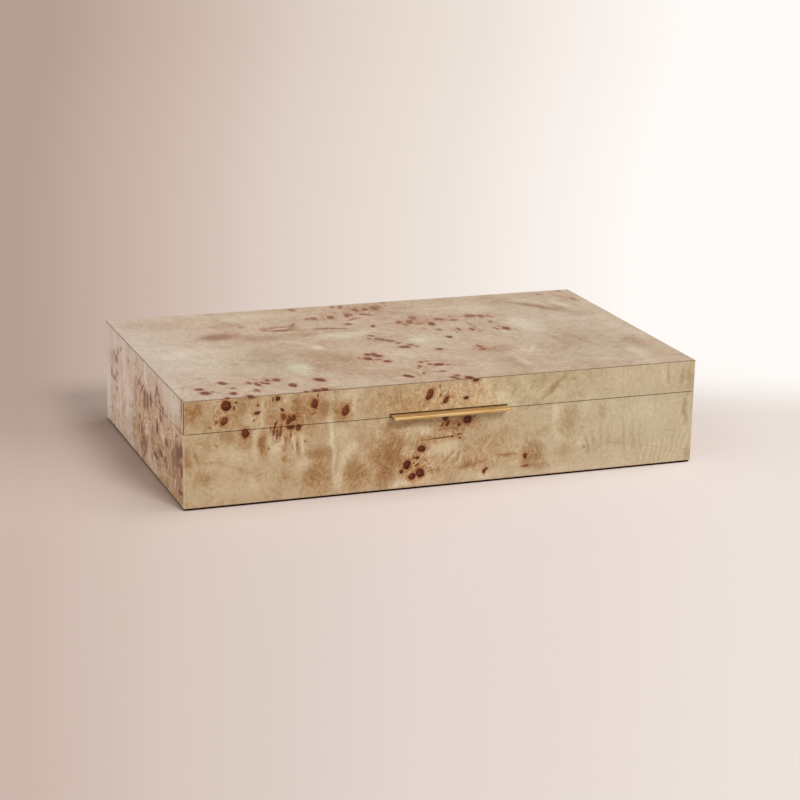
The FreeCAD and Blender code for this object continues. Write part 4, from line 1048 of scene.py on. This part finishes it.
def felt_sheet(look):
    """The cut sheet of felt under the base, with round corners and soft cut edges."""
    low, high = box_mm("base_felt")
    middle, half = (low.z + high.z) / 2, (high - low) / 2
    mesh = bmesh.new()
    rings = []
    for turn in np.linspace(-math.pi / 2, math.pi / 2, FELT_RINGS):
        radius = FELT_CORNER - FELT_ROLL * (1 - math.cos(turn))
        height = middle + half.z * math.sin(turn)
        ring = []
        for number in range(FELT_RING_POINTS):
            angle = 2 * math.pi * (number + 0.5) / FELT_RING_POINTS
            along, across = math.cos(angle), math.sin(angle)
            x = math.copysign(half.x - FELT_CORNER, along) + radius * along
            y = math.copysign(half.y - FELT_CORNER, across) + radius * across
            ring.append(mesh.verts.new(Vector((x, y, height)) * MM))
        rings.append(ring)
    bridge_rows(mesh, rings, closed=True)
    mesh.faces.new(rings[0])
    mesh.faces.new(rings[-1])
    bmesh.ops.recalc_face_normals(mesh, faces=mesh.faces)
    piece = soft_piece(mesh, "base_felt_sheet", "base_felt", "base", look)


def make_soft_goods():
    """The lid pad, the floor pad and the felt; returns the cloth that the liners are covered in."""
    lining = suede("suede_lining", ("#3E2F26", "#544236", "#6B574A"), 0.3, 0.5)
    soft_pad("lid_pad", "lid_lining_pad", "lid", -1, lining)
    soft_pad("floor_pad", "floor_lining", "base", 1, lining)
    felt_sheet(suede("base_felt_cloth", ("#1E0606", "#2C0B08", "#3A150F"), 0.0, 0.0))
    return lining


# ---------------------------------------------------------------- other materials
# The rails are dark stained wood, made darker still as painted shade for where they show through the seam
# and the gap over the pull.
STAIN_AND_GAP_SHADE_TONES = ("#1E0806", "#290D09", "#36130D")
BOARD_SHADES = ("#6E5238", "#8A6A49", "#A5855F")
DIVIDER_SHADES = ("#A98457", "#C09B6C", "#D4B487")
BRASS_SHADES = ("#C6A066", "#D0AD74", "#D8BC8A")
BRASS_PAINTED_END_SHADE = "#6B4E2A"
RUBBER_SHADES = ("#1B1817", "#2A2624")


def plain_wood(name, shades, axis, roughness=0.5, gloss=0.5):
    """Straight-grained wood with its fibres along one axis."""
    nodes = Shader(name)
    place = nodes.place()
    bent = nodes.shifted(place, nodes.noise(place, 18, 2, output=1), 0.006)
    drawn = nodes.scaled(bent, {"x": (0.05, 1, 1), "y": (1, 0.05, 1)}[axis])
    bands = nodes.noise(drawn, 170, 3, 0.55, 0.4)
    pores = nodes.noise(drawn, 1500, 2, 0.6)
    cloud = nodes.noise(place, 14, 2)
    tone = nodes.swung(0.5, (bands, 1.3), (pores, 0.45), (cloud, 0.4))
    base = nodes.ramp(tone, (0.15, 0.5, 0.85), shades)
    return nodes.finish(base, roughness, bump=pores, bump_strength=0.12,
                        bump_distance=0.1 * MM, Specular_IOR_Level=gloss)


def suede(name, shades, sheen, gloss):
    """Napped cloth: brushed patches, a fine nap and a soft sheen."""
    nodes = Shader(name)
    place = nodes.place()
    brushed = nodes.noise(place, 30, 3, 0.6, 0.3)
    nap = nodes.noise(place, 1400, 3, 0.7)
    fleck = nodes.noise(place, 4200, 1, 0.5)
    tone = nodes.swung(0.5, (brushed, 0.5), (nap, 0.7), (fleck, 0.25))
    base = nodes.ramp(tone, (0.1, 0.5, 0.9), shades)
    return nodes.finish(base, 0.95, bump=nap, bump_strength=0.35, bump_distance=0.15 * MM,
                        Sheen_Weight=sheen, Sheen_Roughness=0.5, Specular_IOR_Level=gloss)


def brushed_brass():
    """Satin brass, drawn along its length, with painted shade on its ends."""
    nodes = Shader("brushed_brass")
    place = nodes.place()
    scratches = nodes.noise(nodes.scaled(place, (0.02, 1, 1)), 5200, 3, 0.6)
    tone = nodes.swung(nodes.noise(place, 60, 2), (scratches, 0.35))
    base = nodes.ramp(tone, (0.25, 0.5, 0.75), BRASS_SHADES)
    normal = nodes.add("NewGeometry").outputs["Normal"]
    facing = nodes.add("SeparateXYZ", {0: normal}).outputs[0]
    # Faces that point along X, such as the pull's ends, are darkened as painted shade.
    end = nodes.smooth(nodes.math("ABSOLUTE", facing), 0.6, 0.95)
    base = nodes.mix(nodes.times(end, 0.75), base, BRASS_PAINTED_END_SHADE)
    return nodes.finish(base, nodes.linear(scratches, 0.10, 0.38), bump=scratches,
                        bump_strength=0.02, bump_distance=0.05 * MM, Metallic=0.75)


def rubber():
    """Matt dark rubber."""
    nodes = Shader("bumper_rubber")
    grit = nodes.noise(nodes.place(), 2500, 2, 0.6)
    base = nodes.ramp(grit, (0.3, 0.7), RUBBER_SHADES)
    return nodes.finish(base, 0.75, bump=grit, bump_strength=0.2, bump_distance=0.1 * MM)


def dress_nodes(lining):
    """Gives every CAD node that stays in sight its material."""
    rails = {axis: plain_wood("stain_and_gap_shade_wood_" + axis, STAIN_AND_GAP_SHADE_TONES, axis, 0.6, 0.1)
             for axis in "xy"}
    boards = plain_wood("panel_board", BOARD_SHADES, "x", 0.6)
    dividers = {axis: plain_wood("divider_wood_" + axis, DIVIDER_SHADES, axis, 0.45)
                for axis in "xy"}
    brass = brushed_brass()
    dots = rubber()
    for name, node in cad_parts.items():
        if name.endswith(("_veneer", "_lining", "_pad", "_felt")):
            continue
        if "hinge" in name or "pull" in name:
            look = brass
        elif name.endswith("_liner"):
            look = lining
        elif "divider" in name:
            look = dividers["y" if name.startswith("cross") else "x"]
        elif name in ("base_bottom_panel", "lid_top_board"):
            look = boards
        elif name == "rim_bumpers":
            look = dots
        else:
            look = rails["y" if "left" in name or "right" in name else "x"]
        node.data.materials.clear()
        node.data.materials.append(look)


# ---------------------------------------------------------------- studio
CAMERA_AZIMUTH = math.radians(-20.497)
CAMERA_ELEVATION = math.radians(16.359)
CAMERA_ROLL = math.radians(1.19)
CAMERA_DISTANCE = 1672.0
CAMERA_AIM = (-0.131, -15.047, 33.884 + FELT_HEIGHT)
FOCAL_PIXELS = 2274.94
PHOTO_PIXELS = 800
SENSOR = 36.0

# Suns: the direction each one comes from, its strength, its spread in degrees.
SUNS = {
    "key": ((0.227, -0.743, 0.629), 1.64, 20.0),
    "high": ((0.462, -0.082, 0.883), 1.28, 50.0),
    "fill": ((-0.87, -0.12, 0.16), 1.36, 100.0),
}
SKY_STRENGTH = 0.23
REFLECTED_SKY_STRENGTH = 0.60
SKY_TINT = "#FFE9D6"
FLOOR_HALF_METRES = 25.0
FLOOR_DROP = 0.05

# The paper's tones, painted light that falls off towards the left, run across the view, over this range of
# sideways distance per distance away.
TONE_SPAN = 0.36
NEAR_PAPER_AND_FALLOFF = ((0.02, 0.20, 0.37, 0.54, 0.72, 0.97),
              ("#C9B7AF", "#D3C6BE", "#D8CDC8", "#E0D5D1", "#E2D9D6", "#E9E2DE"))
FAR_PAPER_AND_FALLOFF = ((0.02, 0.20, 0.37, 0.54, 0.63, 0.80),
             ("#B09E95", "#C9B8AF", "#DDD2CB", "#E8E1DB", "#F0EBE7", "#FBFBFB"))
# Where the near paper turns into the far one, in metres from under the camera: at the left, at
# the right. It stands for the foot of the studio's paper sweep, with its change of light painted into the
# far tones.
TURN_LEFT = (1.42, 1.70)
TURN_RIGHT = (1.69, 1.83)


def make_camera():
    """The photograph's own view; returns where the camera stands."""
    camera = add_object("camera", bpy.data.cameras.new("camera"))
    level = math.cos(CAMERA_ELEVATION)
    back = Vector((math.sin(CAMERA_AZIMUTH) * level, -math.cos(CAMERA_AZIMUTH) * level,
                   math.sin(CAMERA_ELEVATION)))
    place = Vector(CAMERA_AIM) * MM + back * CAMERA_DISTANCE * MM
    turn = back.to_track_quat("Z", "Y").to_matrix().to_4x4()
    roll = Matrix.Rotation(CAMERA_ROLL, 4, "Z")
    camera.matrix_world = Matrix.Translation(place) @ turn @ roll
    camera.data.sensor_width = SENSOR
    camera.data.lens = FOCAL_PIXELS / PHOTO_PIXELS * SENSOR
    camera.data.clip_start, camera.data.clip_end = 0.05, 60
    bpy.context.scene.camera = camera
    return place


def paper_material(foot):
    """Studio paper, from a rosy grey on the left to near white on the right: painted light that falls off
    towards the left.
    """
    nodes = Shader("studio_paper")
    right = (math.cos(CAMERA_AZIMUTH), math.sin(CAMERA_AZIMUTH), 0)
    ahead = (-math.sin(CAMERA_AZIMUTH), math.cos(CAMERA_AZIMUTH), 0)
    away = nodes.vector("SUBTRACT", nodes.place(), (foot.x, foot.y, 0))
    sideways = nodes.vector("DOT_PRODUCT", away, right, output="Value")
    depth = nodes.math("MAXIMUM", nodes.vector("DOT_PRODUCT", away, ahead, output="Value"), 0.35)
    slope = nodes.math("DIVIDE", sideways, depth)
    share = nodes.linear(slope, 1 / TONE_SPAN, 0.5, clamp=True)
    dimming = nodes.times(nodes.smooth(depth, 2.2, 4.2), 0.05)
    far_share = nodes.math("SUBTRACT", share, dimming, clamp=True)
    side = nodes.smooth(share, 0.1, 0.9)
    start, stop = (nodes.linear(side, at_right - at_left, at_left)
                   for at_left, at_right in zip(TURN_LEFT, TURN_RIGHT))
    base = nodes.mix(nodes.smooth(depth, start, stop), nodes.ramp(share, *NEAR_PAPER_AND_FALLOFF),
                     nodes.ramp(far_share, *FAR_PAPER_AND_FALLOFF))
    return nodes.finish(base, 1.0, Specular_IOR_Level=0.0)


def make_floor(foot):
    """A wide plain floor under and behind the box."""
    mesh = bmesh.new()
    bmesh.ops.create_grid(mesh, x_segments=8, y_segments=8, size=FLOOR_HALF_METRES)
    floor = mesh_object("floor", mesh)
    floor.location.z = -FLOOR_DROP * MM
    floor.data.materials.append(paper_material(foot))


def make_sun(name, towards, strength, spread):
    """A soft distant light that comes from a direction."""
    light = add_object(name, bpy.data.lights.new(name, "SUN"))
    light.data.energy = strength
    light.data.angle = math.radians(spread)
    light.rotation_euler = Vector(towards).to_track_quat("Z", "Y").to_euler()


def make_sky():
    """An even pale surround, brighter where a surface reflects it."""
    world = bpy.data.worlds.new("sky")
    world.use_nodes = True
    bpy.context.scene.world = world
    tree = world.node_tree
    sky = tree.nodes["Background"]
    sky.inputs["Color"].default_value = colour(SKY_TINT)
    path = tree.nodes.new("ShaderNodeLightPath")
    level = tree.nodes.new("ShaderNodeMapRange")
    level.inputs["To Min"].default_value = SKY_STRENGTH
    level.inputs["To Max"].default_value = REFLECTED_SKY_STRENGTH
    tree.links.new(path.outputs["Is Glossy Ray"], level.inputs["Value"])
    tree.links.new(level.outputs[0], sky.inputs["Strength"])


dress_veneers()
dress_nodes(make_soft_goods())
make_floor(make_camera())
for sun, (towards, strength, spread) in SUNS.items():
    make_sun(sun, towards, strength, spread)
make_sky()
bpy.context.scene.view_settings.view_transform = "Standard"
